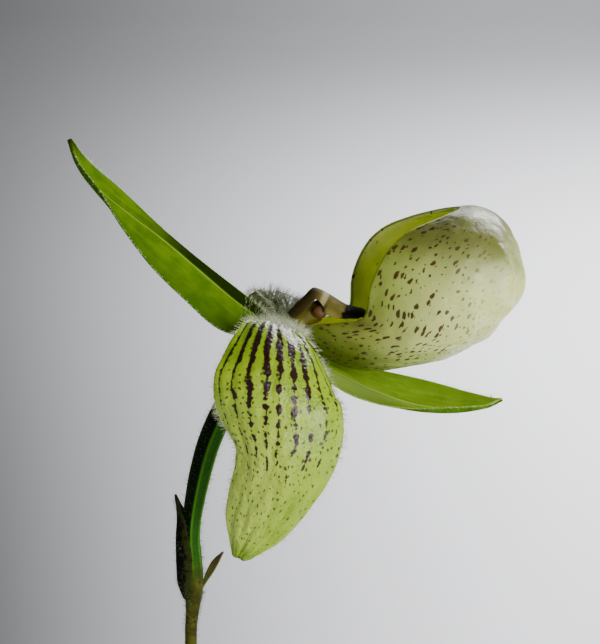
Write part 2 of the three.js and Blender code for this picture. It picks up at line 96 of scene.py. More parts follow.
def ease(tree, value, low, high, start=0.0, end=1.0):
    node = add(
        tree,
        "ShaderNodeMapRange",
        {"Value": value, "From Min": low, "From Max": high, "To Min": start, "To Max": end},
        interpolation_type="SMOOTHSTEP",
    )
    return node.outputs[0]


def blend_colours(tree, factor, first, second, way="MIX"):
    node = add(tree, "ShaderNodeMix", {0: factor, 6: first, 7: second}, data_type="RGBA", blend_type=way)
    return node.outputs[2]


def cloud(tree, vector, scale, detail=3.0, roughness=0.5):
    inputs = {"Vector": vector, "Scale": scale, "Detail": detail, "Roughness": roughness}
    return add(tree, "ShaderNodeTexNoise", inputs).outputs["Fac"]


# %% [markdown]
# ## Colours and places
#
# Plant colours are easiest to judge as screen values, while Blender mixes light in linear values, so
# one helper converts. Patterns that follow a petal read its UV map, where the first number runs from
# base to tip and the second across. Grain and spots read the object's own coordinates.


# %% Helpers for colours and for the start of a material
def screen(red, green, blue):
    def linear(value):
        value /= 255
        return value / 12.92 if value <= 0.04045 else ((value + 0.055) / 1.055) ** 2.4

    return (linear(red), linear(green), linear(blue), 1.0)


def new_material(name, **constants):
    material = bpy.data.materials.new(name)
    material.use_nodes = True
    tree = material.node_tree
    shader = tree.nodes["Principled BSDF"]
    for socket, value in constants.items():
        shader.inputs[socket.replace("_", " ")].default_value = value
    return material, tree, shader


def along_and_across(tree):
    uv = add(tree, "ShaderNodeUVMap", uv_map="blade").outputs[0]
    parts = add(tree, "ShaderNodeSeparateXYZ", {0: uv})
    return parts.outputs[0], parts.outputs[1]


def place_in_mm(tree):
    place = add(tree, "ShaderNodeTexCoord").outputs["Object"]
    node = add(tree, "ShaderNodeVectorMath", {0: place, 3: 1000.0}, operation="SCALE")
    return node.outputs[0]


def raise_surface(tree, shader, height, strength, distance):
    bump = add(
        tree,
        "ShaderNodeBump",
        {"Height": height, "Strength": strength, "Distance": distance * MM},
    )
    tree.links.new(bump.outputs[0], shader.inputs["Normal"])


# %% [markdown]
# ## Spots
#
# The pouch, the petals and the undersides of the leaves all carry small dark spots of uneven size.
# A Voronoi texture scatters one point per cell, so a spot is the part of a cell that lies near its
# point. The cell's own random colour decides how large the spot is and whether it shows at all. On
# thin parts the pattern is laid out flat, on the UV stretched to millimetres, so that no spot is cut.


# %% Build the spot groups
def spot_group(name, dimensions):
    group = bpy.data.node_groups.new(name, "ShaderNodeTree")
    face = group.interface
    face.new_socket("Place", in_out="INPUT", socket_type="NodeSocketVector")
    for socket in ("Scale", "Size", "Share"):
        face.new_socket(socket, in_out="INPUT", socket_type="NodeSocketFloat")
    face.new_socket("Mask", in_out="OUTPUT", socket_type="NodeSocketFloat")
    given = group.nodes.new("NodeGroupInput").outputs
    ragged = add(group, "ShaderNodeTexNoise", {"Vector": given["Place"], "Scale": 1.7, "Detail": 3.0})
    shift = add(group, "ShaderNodeVectorMath", {0: ragged.outputs["Color"], 3: 0.9}, operation="SCALE")
    moved = add(group, "ShaderNodeVectorMath", {0: given["Place"], 1: shift.outputs[0]}, operation="ADD")
    inputs = {"Vector": moved.outputs[0], "Scale": given["Scale"], "Randomness": 0.85}
    cells = add(group, "ShaderNodeTexVoronoi", inputs, voronoi_dimensions=dimensions)
    chance = add(group, "ShaderNodeSeparateColor", {0: cells.outputs["Color"]})
    size = maths(group, "MULTIPLY", given["Size"], ease(group, chance.outputs[0], 0.0, 1.0, 0.4, 1.2))
    near = add(
        group,
        "ShaderNodeMapRange",
        {
            "Value": cells.outputs["Distance"],
            "From Min": maths(group, "MULTIPLY", size, 0.72),
            "From Max": size,
            "To Min": 1.0,
            "To Max": 0.0,
        },
        interpolation_type="SMOOTHSTEP",
    ).outputs[0]
    shown = maths(group, "LESS_THAN", chance.outputs[1], given["Share"])
    out = group.nodes.new("NodeGroupOutput")
    group.links.new(maths(group, "MULTIPLY", near, shown), out.inputs[0])
    return group


SPOTS = spot_group("uneven_spots", "3D")
FLAT_SPOTS = spot_group("flat_spots", "2D")


def spots(tree, place, scale, size, share, group=SPOTS):
    node = add(tree, "ShaderNodeGroup", node_tree=group)
    for name, value in {"Place": place, "Scale": scale, "Size": size, "Share": share}.items():
        if isinstance(value, bpy.types.NodeSocket):
            tree.links.new(value, node.inputs[name])
        else:
            node.inputs[name].default_value = value
    return node.outputs[0]


def unrolled(tree, u, v, length, width):
    flat = {0: maths(tree, "MULTIPLY", u, length), 1: maths(tree, "MULTIPLY", v, width)}
    return add(tree, "ShaderNodeCombineXYZ", flat).outputs[0]


print("spot group sockets:", [item.name for item in SPOTS.interface.items_tree])

# %% [markdown]
# ## Plant skin
#
# Living tissue is never one even green. The skin group drifts between two tones in soft clouds and
# returns a fine pebbled height, which the Bump node of each material turns into relief.


# %% Build the skin group
def skin_group():
    group = bpy.data.node_groups.new("plant_skin", "ShaderNodeTree")
    face = group.interface
    face.new_socket("Place", in_out="INPUT", socket_type="NodeSocketVector")
    face.new_socket("First", in_out="INPUT", socket_type="NodeSocketColor")
    face.new_socket("Second", in_out="INPUT", socket_type="NodeSocketColor")
    face.new_socket("Drift", in_out="INPUT", socket_type="NodeSocketFloat")
    face.new_socket("Grain", in_out="INPUT", socket_type="NodeSocketFloat")
    face.new_socket("Colour", in_out="OUTPUT", socket_type="NodeSocketColor")
    face.new_socket("Height", in_out="OUTPUT", socket_type="NodeSocketFloat")
    given = group.nodes.new("NodeGroupInput").outputs
    drift = cloud(group, given["Place"], given["Drift"], 3.0)
    tone = ease(group, drift, 0.35, 0.65)
    grain = cloud(group, given["Place"], given["Grain"], 2.0)
    out = group.nodes.new("NodeGroupOutput")
    group.links.new(blend_colours(group, tone, given["First"], given["Second"]), out.inputs[0])
    group.links.new(grain, out.inputs[1])
    return group


SKIN = skin_group()


def skin(tree, place, first, second, drift, grain):
    node = add(tree, "ShaderNodeGroup", node_tree=SKIN)
    tree.links.new(place, node.inputs["Place"])
    node.inputs["First"].default_value = first
    node.inputs["Second"].default_value = second
    node.inputs["Drift"].default_value = drift
    node.inputs["Grain"].default_value = grain
    return node.outputs[0], node.outputs[1]


print("skin group sockets:", [item.name for item in SKIN.interface.items_tree])

# %% [markdown]
# ## Petal finish
#
# The petals of this orchid are yellow-green with nine dark maroon lines that fan out from the base.
# Each line is solid near the base, then breaks into beads, and only dots reach the tip. A repeated
# count across the UV gives the lines, and a noise stretched along them cuts them into pieces. A paler
# green down the blade is painted sheen. The far petal shows only a plain crest, so its lines start
# further down, and painted shade darkens that crest's grey-green.


# %% Make the petal materials
def glow(shader, weight, millimetres):
    shader.inputs["Subsurface Weight"].default_value = weight
    shader.inputs["Subsurface Radius"].default_value = (0.8, 1.0, 0.25)
    shader.inputs["Subsurface Scale"].default_value = millimetres * MM


def petal_lines(tree, place, u, v):
    wander = maths(tree, "MULTIPLY", maths(tree, "SUBTRACT", cloud(tree, place, 0.14), 0.5), 0.12)
    lanes = maths(tree, "MULTIPLY", maths(tree, "ADD", v, wander), 9.0)
    lane = maths(tree, "FLOOR", lanes)
    middle = maths(tree, "ABSOLUTE", maths(tree, "SUBTRACT", maths(tree, "FRACT", lanes), 0.5))
    ragged = maths(tree, "MULTIPLY", maths(tree, "SUBTRACT", cloud(tree, place, 1.5, 4.0, 0.75), 0.5), 0.5)
    bead = ease(tree, cloud(tree, unrolled(tree, u, lane, 40.0, 7.3), 1.0, 1.0), 0.38, 0.62)
    thread = ease(tree, u, 0.3, 0.66, 0.68, -0.25)
    swell = maths(tree, "MULTIPLY", bead, maths(tree, "SUBTRACT", 0.95, thread))
    side = maths(tree, "ABSOLUTE", maths(tree, "SUBTRACT", v, 0.5))
    inward = ease(tree, side, 0.46, 0.2, 0.42, 1.0)
    wide = maths(tree, "MULTIPLY", ease(tree, u, 0.1, 0.7, 0.46, 0.17), inward)
    width = maths(tree, "MULTIPLY", wide, maths(tree, "ADD", thread, swell))
    width = maths(tree, "SUBTRACT", width, ease(tree, u, 0.66, 0.86, 0.0, 0.3))
    spare = maths(tree, "SUBTRACT", width, maths(tree, "ADD", middle, ragged))
    return ease(tree, spare, -0.01, 0.04)


def petal_material(name, plain_until):
    material, tree, shader = new_material(name, Roughness=0.34, Specular_IOR_Level=0.4)
    glow(shader, 0.4, 2.0)
    u, v = along_and_across(tree)
    place = place_in_mm(tree)
    colour, grain = skin(tree, place, screen(118, 150, 2), screen(138, 166, 10), 0.2, 1.6)
    # Painted sheen: the blade is painted paler from the middle down, most on one side, where the window light
    # glints on it.
    painted_sheen = maths(tree, "MULTIPLY", ease(tree, u, 0.3, 0.75), ease(tree, v, 0.8, 0.4, 0.3, 1.0))
    colour = blend_colours(tree, painted_sheen, colour, screen(158, 178, 62))
    colour = blend_colours(tree, ease(tree, u, 0.93, 0.985), colour, screen(112, 142, 4))
    # The far petal's crest is plain: no lines, a grey-green under its hairs, darkened further with painted
    # shade.
    plain_shaded_crest = ease(tree, u, plain_until + 0.1, plain_until)
    colour = blend_colours(tree, plain_shaded_crest, colour, screen(84, 96, 40))
    share = ease(tree, u, 0.3, 0.5, 0.1, 0.95)
    dots = spots(tree, unrolled(tree, u, v, 62.0, 27.0), 0.7, 0.2, share, FLAT_SPOTS)
    lines = maths(tree, "MULTIPLY", petal_lines(tree, place, u, v), maths(tree, "SUBTRACT", 1.0, plain_shaded_crest))
    marks = maths(tree, "MAXIMUM", lines, maths(tree, "MULTIPLY", dots, 0.85), clamp=True)
    colour = blend_colours(tree, marks, colour, screen(36, 8, 10))
    tree.links.new(colour, shader.inputs["Base Color"])
    cells = {"Vector": place, "Scale": 1.5}
    pebbles = add(tree, "ShaderNodeTexVoronoi", cells, feature="SMOOTH_F1").outputs[0]
    rolling = maths(tree, "MULTIPLY", cloud(tree, place, 0.4, 2.0), 1.6)
    height = maths(tree, "SUBTRACT", rolling, maths(tree, "MULTIPLY", pebbles, 0.6))
    height = maths(tree, "ADD", height, maths(tree, "MULTIPLY", grain, 0.5))
    raise_surface(tree, shader, height, 0.5, 0.35)
    return material


def petal_back_material():
    material, tree, shader = new_material("petal_back", Roughness=0.6, Specular_IOR_Level=0.25)
    glow(shader, 0.3, 1.5)
    u, v = along_and_across(tree)
    place = place_in_mm(tree)
    colour, grain = skin(tree, place, screen(70, 80, 32), screen(90, 100, 44), 0.25, 1.6)
    dots = spots(tree, unrolled(tree, u, v, 62.0, 27.0), 0.4, 0.14, 0.3, FLAT_SPOTS)
    colour = blend_colours(tree, maths(tree, "MULTIPLY", dots, 0.7), colour, screen(40, 34, 26))
    tree.links.new(colour, shader.inputs["Base Color"])
    raise_surface(tree, shader, grain, 0.5, 0.3)
    return material


PETAL_SKIN = petal_material("petal_skin", -0.2)
FAR_PETAL_SKIN = petal_material("far_petal_skin", 0.34)
PETAL_BACK = petal_back_material()
print("petal nodes:", len(PETAL_SKIN.node_tree.nodes))

# %% [markdown]
# ## Sepal finish
#
# The sepals are plainer: matte leaf green with faint streaks along them and a paler midrib. A noise
# stretched along the blade draws the streaks in both the colour and the relief. On the upper sepal,
# painted shade darkens the far half near the base.


# %% Make the sepal materials
def sepal_material(name, first, second, midrib, dark_side, margin_tone):
    material, tree, shader = new_material(name, Roughness=0.55, Specular_IOR_Level=0.0)
    glow(shader, 0.15, 1.0)
    u, v = along_and_across(tree)
    place = place_in_mm(tree)
    colour, grain = skin(tree, place, first, second, 0.3, 2.4)
    flow = cloud(tree, unrolled(tree, u, v, 5.0, 16.0), 1.0, 3.0)
    colour = blend_colours(tree, ease(tree, flow, 0.45, 0.75, 0.0, 0.2), colour, midrib)
    # Painted shade: on the upper sepal this darkens the far half near the base; on the lower sepal the same
    # mask lays a paler green.
    shaded = maths(tree, "MULTIPLY", ease(tree, v, 0.5, 0.44), ease(tree, v, 0.04, 0.12, 0.5, 1.0))
    shaded = maths(tree, "MULTIPLY", shaded, ease(tree, u, 0.62, 0.4))
    colour = blend_colours(tree, shaded, colour, dark_side)
    colour = blend_colours(tree, ease(tree, v, 0.7, 0.95, 0.0, 0.45), colour, margin_tone)
    side = maths(tree, "ABSOLUTE", maths(tree, "SUBTRACT", v, 0.49))
    rib = maths(tree, "MULTIPLY", ease(tree, side, 0.03, 0.004), ease(tree, u, 0.95, 0.7, 0.2, 0.75))
    colour = blend_colours(tree, rib, colour, midrib)
    colour = blend_colours(tree, ease(tree, u, 0.88, 1.0, 0.0, 0.85), colour, dark_side)
    colour = blend_colours(tree, ease(tree, u, 0.12, 0.0, 0.0, 0.7), colour, dark_side)
    tree.links.new(colour, shader.inputs["Base Color"])
    pits = spots(tree, place, 1.1, 0.3, 0.5)
    height = maths(tree, "ADD", maths(tree, "MULTIPLY", flow, 0.3), maths(tree, "MULTIPLY", grain, 0.8))
    raise_surface(tree, shader, maths(tree, "ADD", height, maths(tree, "MULTIPLY", pits, 0.4)), 0.5, 0.25)
    return material


DORSAL_FACE = sepal_material(
    "dorsal_face",
    screen(60, 92, 0),
    screen(76, 106, 2),
    screen(116, 142, 44),
    screen(22, 36, 2),
    screen(48, 80, 0),
)
SEPAL_FACE = sepal_material(
    "synsepal_face",
    screen(98, 132, 12),
    screen(116, 146, 30),
    screen(166, 186, 92),
    screen(130, 158, 62),
    screen(96, 132, 12),
)
SEPAL_BACK = sepal_material(
    "sepal_back",
    screen(56, 92, 4),
    screen(70, 106, 10),
    screen(98, 128, 40),
    screen(40, 66, 4),
    screen(50, 84, 4),
)
print("sepal materials:", DORSAL_FACE.name, SEPAL_FACE.name, SEPAL_BACK.name)

# %% [markdown]
# ## Pouch finish
#
# The lip is the orchid's slipper: a thin, waxy pouch with a weak gloss. Its skin is pale yellow-green,
# darker at the foot and paler towards the toe, where the maroon spots fade out; the paler toe is
# partly painted light. Painted shade makes the skin olive where it faces up, and painted highlights
# lie in the dents on the toe side. The inner wall is plainer, so it gets a material of its own.


# %% Make the pouch materials
def pouch_material():
    material, tree, shader = new_material(
        "pouch_skin", Roughness=0.36, Specular_IOR_Level=0.22, Coat_Weight=0.1, Coat_Roughness=0.2
    )
    glow(shader, 0.6, 4.0)
    s, turn = along_and_across(tree)
    place = place_in_mm(tree)
    colour, grain = skin(tree, place, screen(130, 142, 50), screen(152, 162, 74), 0.12, 1.2)
    from_keel = maths(tree, "ABSOLUTE", maths(tree, "SUBTRACT", turn, 0.5))
    # Painted shade: the upper side of the pouch, out of the low window light, is painted olive.
    painted_top_shade = maths(tree, "MULTIPLY", ease(tree, from_keel, 0.26, 0.04), ease(tree, s, 0.95, 0.3))
    colour = blend_colours(tree, maths(tree, "MULTIPLY", painted_top_shade, 0.9), colour, screen(84, 88, 22))
    foot = maths(tree, "MULTIPLY", ease(tree, from_keel, 0.26, 0.46), ease(tree, s, 0.65, 0.1))
    colour = blend_colours(tree, foot, colour, screen(60, 76, 0))
    east = add(tree, "ShaderNodeSeparateXYZ", {0: place}).outputs[0]
    # Paler towards the toe: partly the pouch's own paler toe and partly painted light from the window side.
    colour = blend_colours(tree, ease(tree, east, 32.0, 58.0, 0.0, 0.9), colour, screen(200, 212, 134))
    dents = cloud(tree, unrolled(tree, s, turn, 5.0, 13.0), 1.0, 2.0)
    # Painted highlights: pale patches in the dents towards the toe stand for the window's glints on the waxy
    # skin.
    pale = maths(tree, "MULTIPLY", ease(tree, dents, 0.45, 0.62), ease(tree, east, 46.0, 60.0, 0.0, 0.6))
    colour = blend_colours(tree, pale, colour, screen(218, 230, 162))
    # Painted shade again: every part whose normal points up is darkened towards olive.
    facing = add(tree, "ShaderNodeTexCoord", {}).outputs["Normal"]
    upward = add(tree, "ShaderNodeSeparateXYZ", {0: facing}).outputs[2]
    colour = blend_colours(tree, ease(tree, upward, 0.05, 0.8, 0.0, 0.9), colour, screen(88, 90, 30))
    flat = unrolled(tree, s, turn, 62.0, 88.0)
    share = ease(tree, east, 72.0, 54.0, 0.0, 0.92)
    large = spots(tree, flat, 0.56, 0.25, share, FLAT_SPOTS)
    small = spots(tree, flat, 0.8, 0.2, maths(tree, "MULTIPLY", share, 0.35), FLAT_SPOTS)
    fade = ease(tree, east, 62.0, 48.0, 0.3, 0.95)
    marks = maths(tree, "MULTIPLY", maths(tree, "MAXIMUM", large, small), fade)
    colour = blend_colours(tree, marks, colour, screen(58, 24, 16))
    tree.links.new(colour, shader.inputs["Base Color"])
    ripple = maths(tree, "MULTIPLY", cloud(tree, place, 0.5, 3.0), 0.5)
    height = maths(tree, "ADD", maths(tree, "MULTIPLY", dents, 3.2), ripple)
    height = maths(tree, "ADD", height, maths(tree, "MULTIPLY", grain, 0.12))
    raise_surface(tree, shader, height, 0.6, 0.8)
    return material


def pouch_inside_material():
    material, tree, shader = new_material("pouch_inside", Roughness=0.4)
    glow(shader, 0.9, 6.0)
    s, turn = along_and_across(tree)
    place = place_in_mm(tree)
    colour, grain = skin(tree, place, screen(142, 136, 108), screen(158, 152, 120), 0.2, 2.0)
    colour = blend_colours(tree, ease(tree, s, 0.2, 0.9, 0.0, 0.8), colour, screen(118, 116, 86))
    marks = spots(tree, unrolled(tree, s, turn, 62.0, 88.0), 0.4, 0.1, 0.35, FLAT_SPOTS)
    colour = blend_colours(tree, maths(tree, "MULTIPLY", marks, 0.8), colour, screen(70, 40, 20))
    tree.links.new(colour, shader.inputs["Base Color"])
    raise_surface(tree, shader, grain, 0.3, 0.15)
    return material


POUCH_SKIN = pouch_material()
POUCH_INSIDE = pouch_inside_material()
print("pouch materials:", POUCH_SKIN.name, POUCH_INSIDE.name)

# %% [markdown]
# ## Shield and column finish
#
# Over the column sits the staminode, a brownish ivory shield with an almost black tip. The border
# between the two is ragged, which a little noise on the UV gives. A pale band across the shield, where
# its flaps begin to arch down, is a painted highlight. The column below is olive, and its two pollen
# discs are brown.


# %% Make the shield and column materials
def shield_material():
    material, tree, shader = new_material("shield_skin", Roughness=0.6, Specular_IOR_Level=0.04)
    glow(shader, 0.35, 2.0)
    u, v = along_and_across(tree)
    place = place_in_mm(tree)
    colour, grain = skin(tree, place, screen(82, 74, 28), screen(102, 94, 44), 0.35, 2.5)
    edge = maths(tree, "ABSOLUTE", maths(tree, "SUBTRACT", v, 0.5))
    colour = blend_colours(tree, ease(tree, edge, 0.2, 0.0, 0.0, 0.75), colour, screen(84, 78, 56))
    colour = blend_colours(tree, ease(tree, u, 0.4, 0.3), colour, screen(60, 50, 24))
    # Painted highlight: a pale cream band across the shield where its flaps begin to arch down.
    rim = maths(tree, "MULTIPLY", ease(tree, u, 0.5, 0.44), ease(tree, u, 0.36, 0.42))
    colour = blend_colours(tree, maths(tree, "MULTIPLY", rim, 0.7), colour, screen(170, 160, 118))
    ragged = maths(tree, "MULTIPLY", maths(tree, "SUBTRACT", cloud(tree, place, 0.9, 3.0), 0.5), 0.16)
    lean = maths(tree, "MULTIPLY", edge, 0.05)
    reach = maths(tree, "ADD", maths(tree, "ADD", u, ragged), lean)
    tip = ease(tree, reach, 0.74, 0.77)
    colour = blend_colours(tree, tip, colour, screen(3, 1, 1))
    tree.links.new(colour, shader.inputs["Base Color"])
    raise_surface(tree, shader, grain, 0.3, 0.15)
    return material


def column_material(name, first, second):
    material, tree, shader = new_material(name, Roughness=0.45)
    place = place_in_mm(tree)
    colour, grain = skin(tree, place, first, second, 0.5, 2.0)
    tree.links.new(colour, shader.inputs["Base Color"])
    raise_surface(tree, shader, grain, 0.35, 0.2)
    return material


SHIELD_SKIN = shield_material()
COLUMN_SKIN = column_material("column_skin", screen(78, 68, 8), screen(98, 92, 18))
ANTHER_SKIN = column_material("anther_skin", screen(62, 36, 4), screen(82, 50, 8))
print("shield and column materials:", SHIELD_SKIN.name, COLUMN_SKIN.name, ANTHER_SKIN.name)

# %% [markdown]
# ## Stalk, bract and hair finish
#
# The scape is olive brown with darker flecks. Higher up the seed vessel turns deep green, and its
# ribs are bright on the side that faces the window. The bracts are dark and papery. The hairs are
# silvery on the bloom and darker on the stalk.


# %% Make the stalk, bract and hair materials
def stalk_material():
    material, tree, shader = new_material("stalk_skin", Roughness=0.6, Specular_IOR_Level=0.06)
    t, turn = along_and_across(tree)
    place = place_in_mm(tree)
    scape, grain = skin(tree, place, screen(44, 46, 8), screen(66, 68, 16), 0.5, 1.8)
    flecks = spots(tree, place, 0.9, 0.36, 0.6)
    scape = blend_colours(tree, maths(tree, "MULTIPLY", flecks, 0.8), scape, screen(20, 12, 6))
    vessel, _ = skin(tree, place, screen(12, 24, 6), screen(18, 34, 10), 0.3, 1.8)
    facing = add(tree, "ShaderNodeTexCoord", {}).outputs["Normal"]
    window_side = (0.75, -0.66, 0.0)
    sides = {0: facing, 1: window_side}
    towards = add(tree, "ShaderNodeVectorMath", sides, operation="DOT_PRODUCT").outputs[1]
    sunny = ease(tree, towards, 0.35, 0.8)
    vessel = blend_colours(tree, sunny, vessel, screen(30, 74, 8))
    ribs = maths(tree, "COSINE", maths(tree, "MULTIPLY", turn, 2 * math.pi * 6))
    stripe = maths(tree, "MULTIPLY", ease(tree, ribs, 0.3, 1.0), ease(tree, sunny, 0.0, 0.6, 0.15, 0.85))
    vessel = blend_colours(tree, stripe, vessel, screen(64, 122, 22))
    colour = blend_colours(tree, ease(tree, t, 0.5, 0.62), scape, vessel)
    tree.links.new(colour, shader.inputs["Base Color"])
    raise_surface(tree, shader, grain, 0.5, 0.25)
    return material


def bract_material():
    material, tree, shader = new_material("bract_skin", Roughness=0.7, Specular_IOR_Level=0.05)
    v = along_and_across(tree)[1]
    place = place_in_mm(tree)
    colour, grain = skin(tree, place, screen(8, 6, 4), screen(16, 13, 6), 0.4, 1.6)
    mottle = cloud(tree, place, 0.9, 3.0)
    reach = maths(tree, "ADD", mottle, ease(tree, v, 0.6, 1.0, -0.3, 0.15))
    colour = blend_colours(tree, ease(tree, reach, 0.4, 0.6, 0.0, 0.9), colour, screen(38, 46, 12))
    tree.links.new(colour, shader.inputs["Base Color"])
    fine = maths(tree, "SINE", maths(tree, "MULTIPLY", v, 60.0))
    height = maths(tree, "ADD", maths(tree, "MULTIPLY", fine, 0.2), grain)
    raise_surface(tree, shader, height, 0.5, 0.2)
    return material


def bractlet_material():
    material, tree, shader = new_material("bractlet_skin", Roughness=0.55)
    place = place_in_mm(tree)
    u = along_and_across(tree)[0]
    colour, grain = skin(tree, place, screen(74, 88, 26), screen(92, 84, 34), 0.6, 1.8)
    colour = blend_colours(tree, ease(tree, u, 0.45, 1.0, 0.0, 0.8), colour, screen(66, 30, 18))
    tree.links.new(colour, shader.inputs["Base Color"])
    raise_surface(tree, shader, grain, 0.5, 0.2)
    return material


def hair_material(name, first, second):
    material, tree, shader = new_material(name, Roughness=0.5)
    place = place_in_mm(tree)
    tone = ease(tree, cloud(tree, place, 0.7, 1.0), 0.35, 0.65)
    tree.links.new(blend_colours(tree, tone, first, second), shader.inputs["Base Color"])
    return material


STALK_SKIN = stalk_material()
BRACT_SKIN = bract_material()
BRACTLET_SKIN = bractlet_material()
HAIR_SILVER = hair_material("hair_silver", screen(166, 176, 130), screen(218, 222, 190))
HAIR_DARK = hair_material("hair_dark", screen(70, 76, 48), screen(112, 118, 82))
print("stalk materials:", STALK_SKIN.name, BRACT_SKIN.name, HAIR_SILVER.name)

# %% [markdown]
# ## Leaf finish
#
# The leaves of this kind of orchid are tiled above in dark and pale green, and flecked with purple
# below. A Voronoi texture stretched along the leaf makes the tiles. The underside is a second
# material on the same mesh.


# %% Make the leaf materials
def leaf_face_material():
    material, tree, shader = new_material("leaf_face", Roughness=0.38)
    u, v = along_and_across(tree)
    place = place_in_mm(tree)
    rows = maths(tree, "MULTIPLY", u, 17.0)
    columns = maths(tree, "MULTIPLY", v, 8.0)
    tiles = add(tree, "ShaderNodeCombineXYZ", {0: rows, 1: columns})
    ragged = add(tree, "ShaderNodeTexNoise", {"Vector": place, "Scale": 0.25, "Detail": 3.0}).outputs["Color"]
    shifted = add(tree, "ShaderNodeVectorMath", {0: tiles.outputs[0], 1: ragged}, operation="ADD").outputs[0]
    cells = add(tree, "ShaderNodeTexVoronoi", {"Vector": shifted, "Scale": 1.0}).outputs["Color"]
    tone = add(tree, "ShaderNodeSeparateColor", {0: cells}).outputs[0]
    dark, grain = skin(tree, place, screen(30, 66, 32), screen(40, 82, 38), 0.15, 1.2)
    colour = blend_colours(tree, ease(tree, tone, 0.35, 0.75), dark, screen(108, 146, 92))
    side = maths(tree, "ABSOLUTE", maths(tree, "SUBTRACT", v, 0.5))
    colour = blend_colours(tree, ease(tree, side, 0.025, 0.0, 0.0, 0.7), colour, screen(34, 62, 30))
    tree.links.new(colour, shader.inputs["Base Color"])
    fine = maths(tree, "SINE", maths(tree, "MULTIPLY", v, 120.0))
    height = maths(tree, "ADD", maths(tree, "MULTIPLY", fine, 0.2), grain)
    raise_surface(tree, shader, height, 0.3, 0.25)
    return material


def leaf_back_material():
    material, tree, shader = new_material("leaf_back", Roughness=0.5)
    place = place_in_mm(tree)
    colour, grain = skin(tree, place, screen(96, 122, 74), screen(116, 138, 86), 0.1, 1.5)
    flecks = spots(tree, place, 0.7, 0.34, 0.75)
    colour = blend_colours(tree, maths(tree, "MULTIPLY", flecks, 0.75), colour, screen(84, 40, 66))
    tree.links.new(colour, shader.inputs["Base Color"])
    raise_surface(tree, shader, grain, 0.3, 0.2)
    return material


LEAF_FACE = leaf_face_material()
LEAF_BACK = leaf_back_material()
print("leaf materials:", LEAF_FACE.name, LEAF_BACK.name)

# %% [markdown]
# ## Pot, bark and crown finish
#
# Unglazed clay is dusty orange, with pale lime marks where water dries out below the rim and above
# the foot. Bark chips vary from one to the next, so each chip's corners carry a random number that
# the material turns into a tone.


# %% Make the pot, bark and crown materials
def clay_material():
    material, tree, shader = new_material("fired_clay", Roughness=0.85)
    place = place_in_mm(tree)
    colour, grain = skin(tree, place, screen(176, 98, 66), screen(192, 116, 82), 0.05, 1.8)
    height_mm = add(tree, "ShaderNodeSeparateXYZ", {0: place}).outputs[2]
    patches = cloud(tree, place, 0.06, 5.0, 0.65)
    rim = ease(tree, height_mm, 58.0, 84.0, -0.35, 0.02)
    foot = ease(tree, height_mm, 34.0, 0.0, -0.35, 0.1)
    lime = ease(tree, maths(tree, "ADD", patches, maths(tree, "MAXIMUM", rim, foot)), 0.5, 0.72, 0.0, 0.65)
    colour = blend_colours(tree, lime, colour, screen(206, 190, 176))
    pits = spots(tree, place, 0.45, 0.1, 0.3)
    colour = blend_colours(tree, maths(tree, "MULTIPLY", pits, 0.5), colour, screen(110, 58, 40))
    tree.links.new(colour, shader.inputs["Base Color"])
    turning = maths(tree, "SINE", maths(tree, "MULTIPLY", height_mm, 3.1))
    height = maths(tree, "ADD", grain, maths(tree, "MULTIPLY", turning, 0.12))
    raise_surface(tree, shader, maths(tree, "SUBTRACT", height, pits), 0.45, 0.3)
    return material


def bark_material():
    material, tree, shader = new_material("bark_chip", Roughness=0.9)
    place = place_in_mm(tree)
    tone = add(tree, "ShaderNodeAttribute", attribute_name="tone").outputs["Fac"]
    colour, grain = skin(tree, place, screen(78, 50, 34), screen(106, 72, 48), 0.3, 1.4)
    colour = blend_colours(tree, ease(tree, tone, 0.1, 0.9, 0.0, 0.75), colour, screen(52, 34, 26))
    plates = cloud(tree, place, 0.35, 4.0, 0.7)
    colour = blend_colours(tree, ease(tree, plates, 0.5, 0.7, 0.0, 0.5), colour, screen(142, 104, 74))
    tree.links.new(colour, shader.inputs["Base Color"])
    height = maths(tree, "ADD", maths(tree, "MULTIPLY", plates, 1.6), grain)
    raise_surface(tree, shader, height, 0.8, 0.6)
    return material


def crown_material():
    material, tree, shader = new_material("crown_sheath", Roughness=0.6)
    place = place_in_mm(tree)
    colour, grain = skin(tree, place, screen(110, 118, 62), screen(140, 126, 78), 0.3, 1.4)
    streaks = add(tree, "ShaderNodeMapping", {"Vector": place, "Scale": (1.6, 1.6, 0.12)}).outputs[0]
    fibres = cloud(tree, streaks, 1.0, 3.0)
    colour = blend_colours(tree, ease(tree, fibres, 0.45, 0.7, 0.0, 0.6), colour, screen(88, 66, 40))
    tree.links.new(colour, shader.inputs["Base Color"])
    raise_surface(tree, shader, maths(tree, "ADD", fibres, grain), 0.5, 0.4)
    return material


CLAY = clay_material()
BARK = bark_material()
CROWN = crown_material()
print("pot materials:", CLAY.name, BARK.name, CROWN.name)

# %% [markdown]
# ## Drawing a blade
#
# A petal, sepal, bract or leaf is a blade: a middle line with a half-width on each side, a roll and
# a cup that bends it across. Rows of numbers at a few stations describe it, and a smooth curve runs
# through them. A flat grid is made first, and each of its corners is then moved to its place on the
# blade, which keeps the faces even and gives the UV for free.


# %% Follow rows of numbers smoothly
def through(rows, t):
    last = len(rows) - 1
    x = min(max(t, 0.0), 1.0) * last
    i = min(int(x), last - 1)
    f = x - i
    b, c = rows[i], rows[i + 1]
    a = rows[i - 1] if i else [2 * p - q for p, q in zip(b, c)]
    d = rows[i + 2] if i + 2 <= last else [2 * q - p for p, q in zip(b, c)]
    return [
        q
        + 0.5 * f * (r - p)
        + 0.5 * f * f * (2 * p - 5 * q + 4 * r - s)
        + 0.5 * f**3 * (3 * q - p - 3 * r + s)
        for p, q, r, s in zip(a, b, c, d)
    ]


def direction_at(rows, t):
    step = 0.004
    before = Vector(through(rows, max(t - step, 0.0))[:3])
    after = Vector(through(rows, min(t + step, 1.0))[:3])
    return (after - before).normalized()


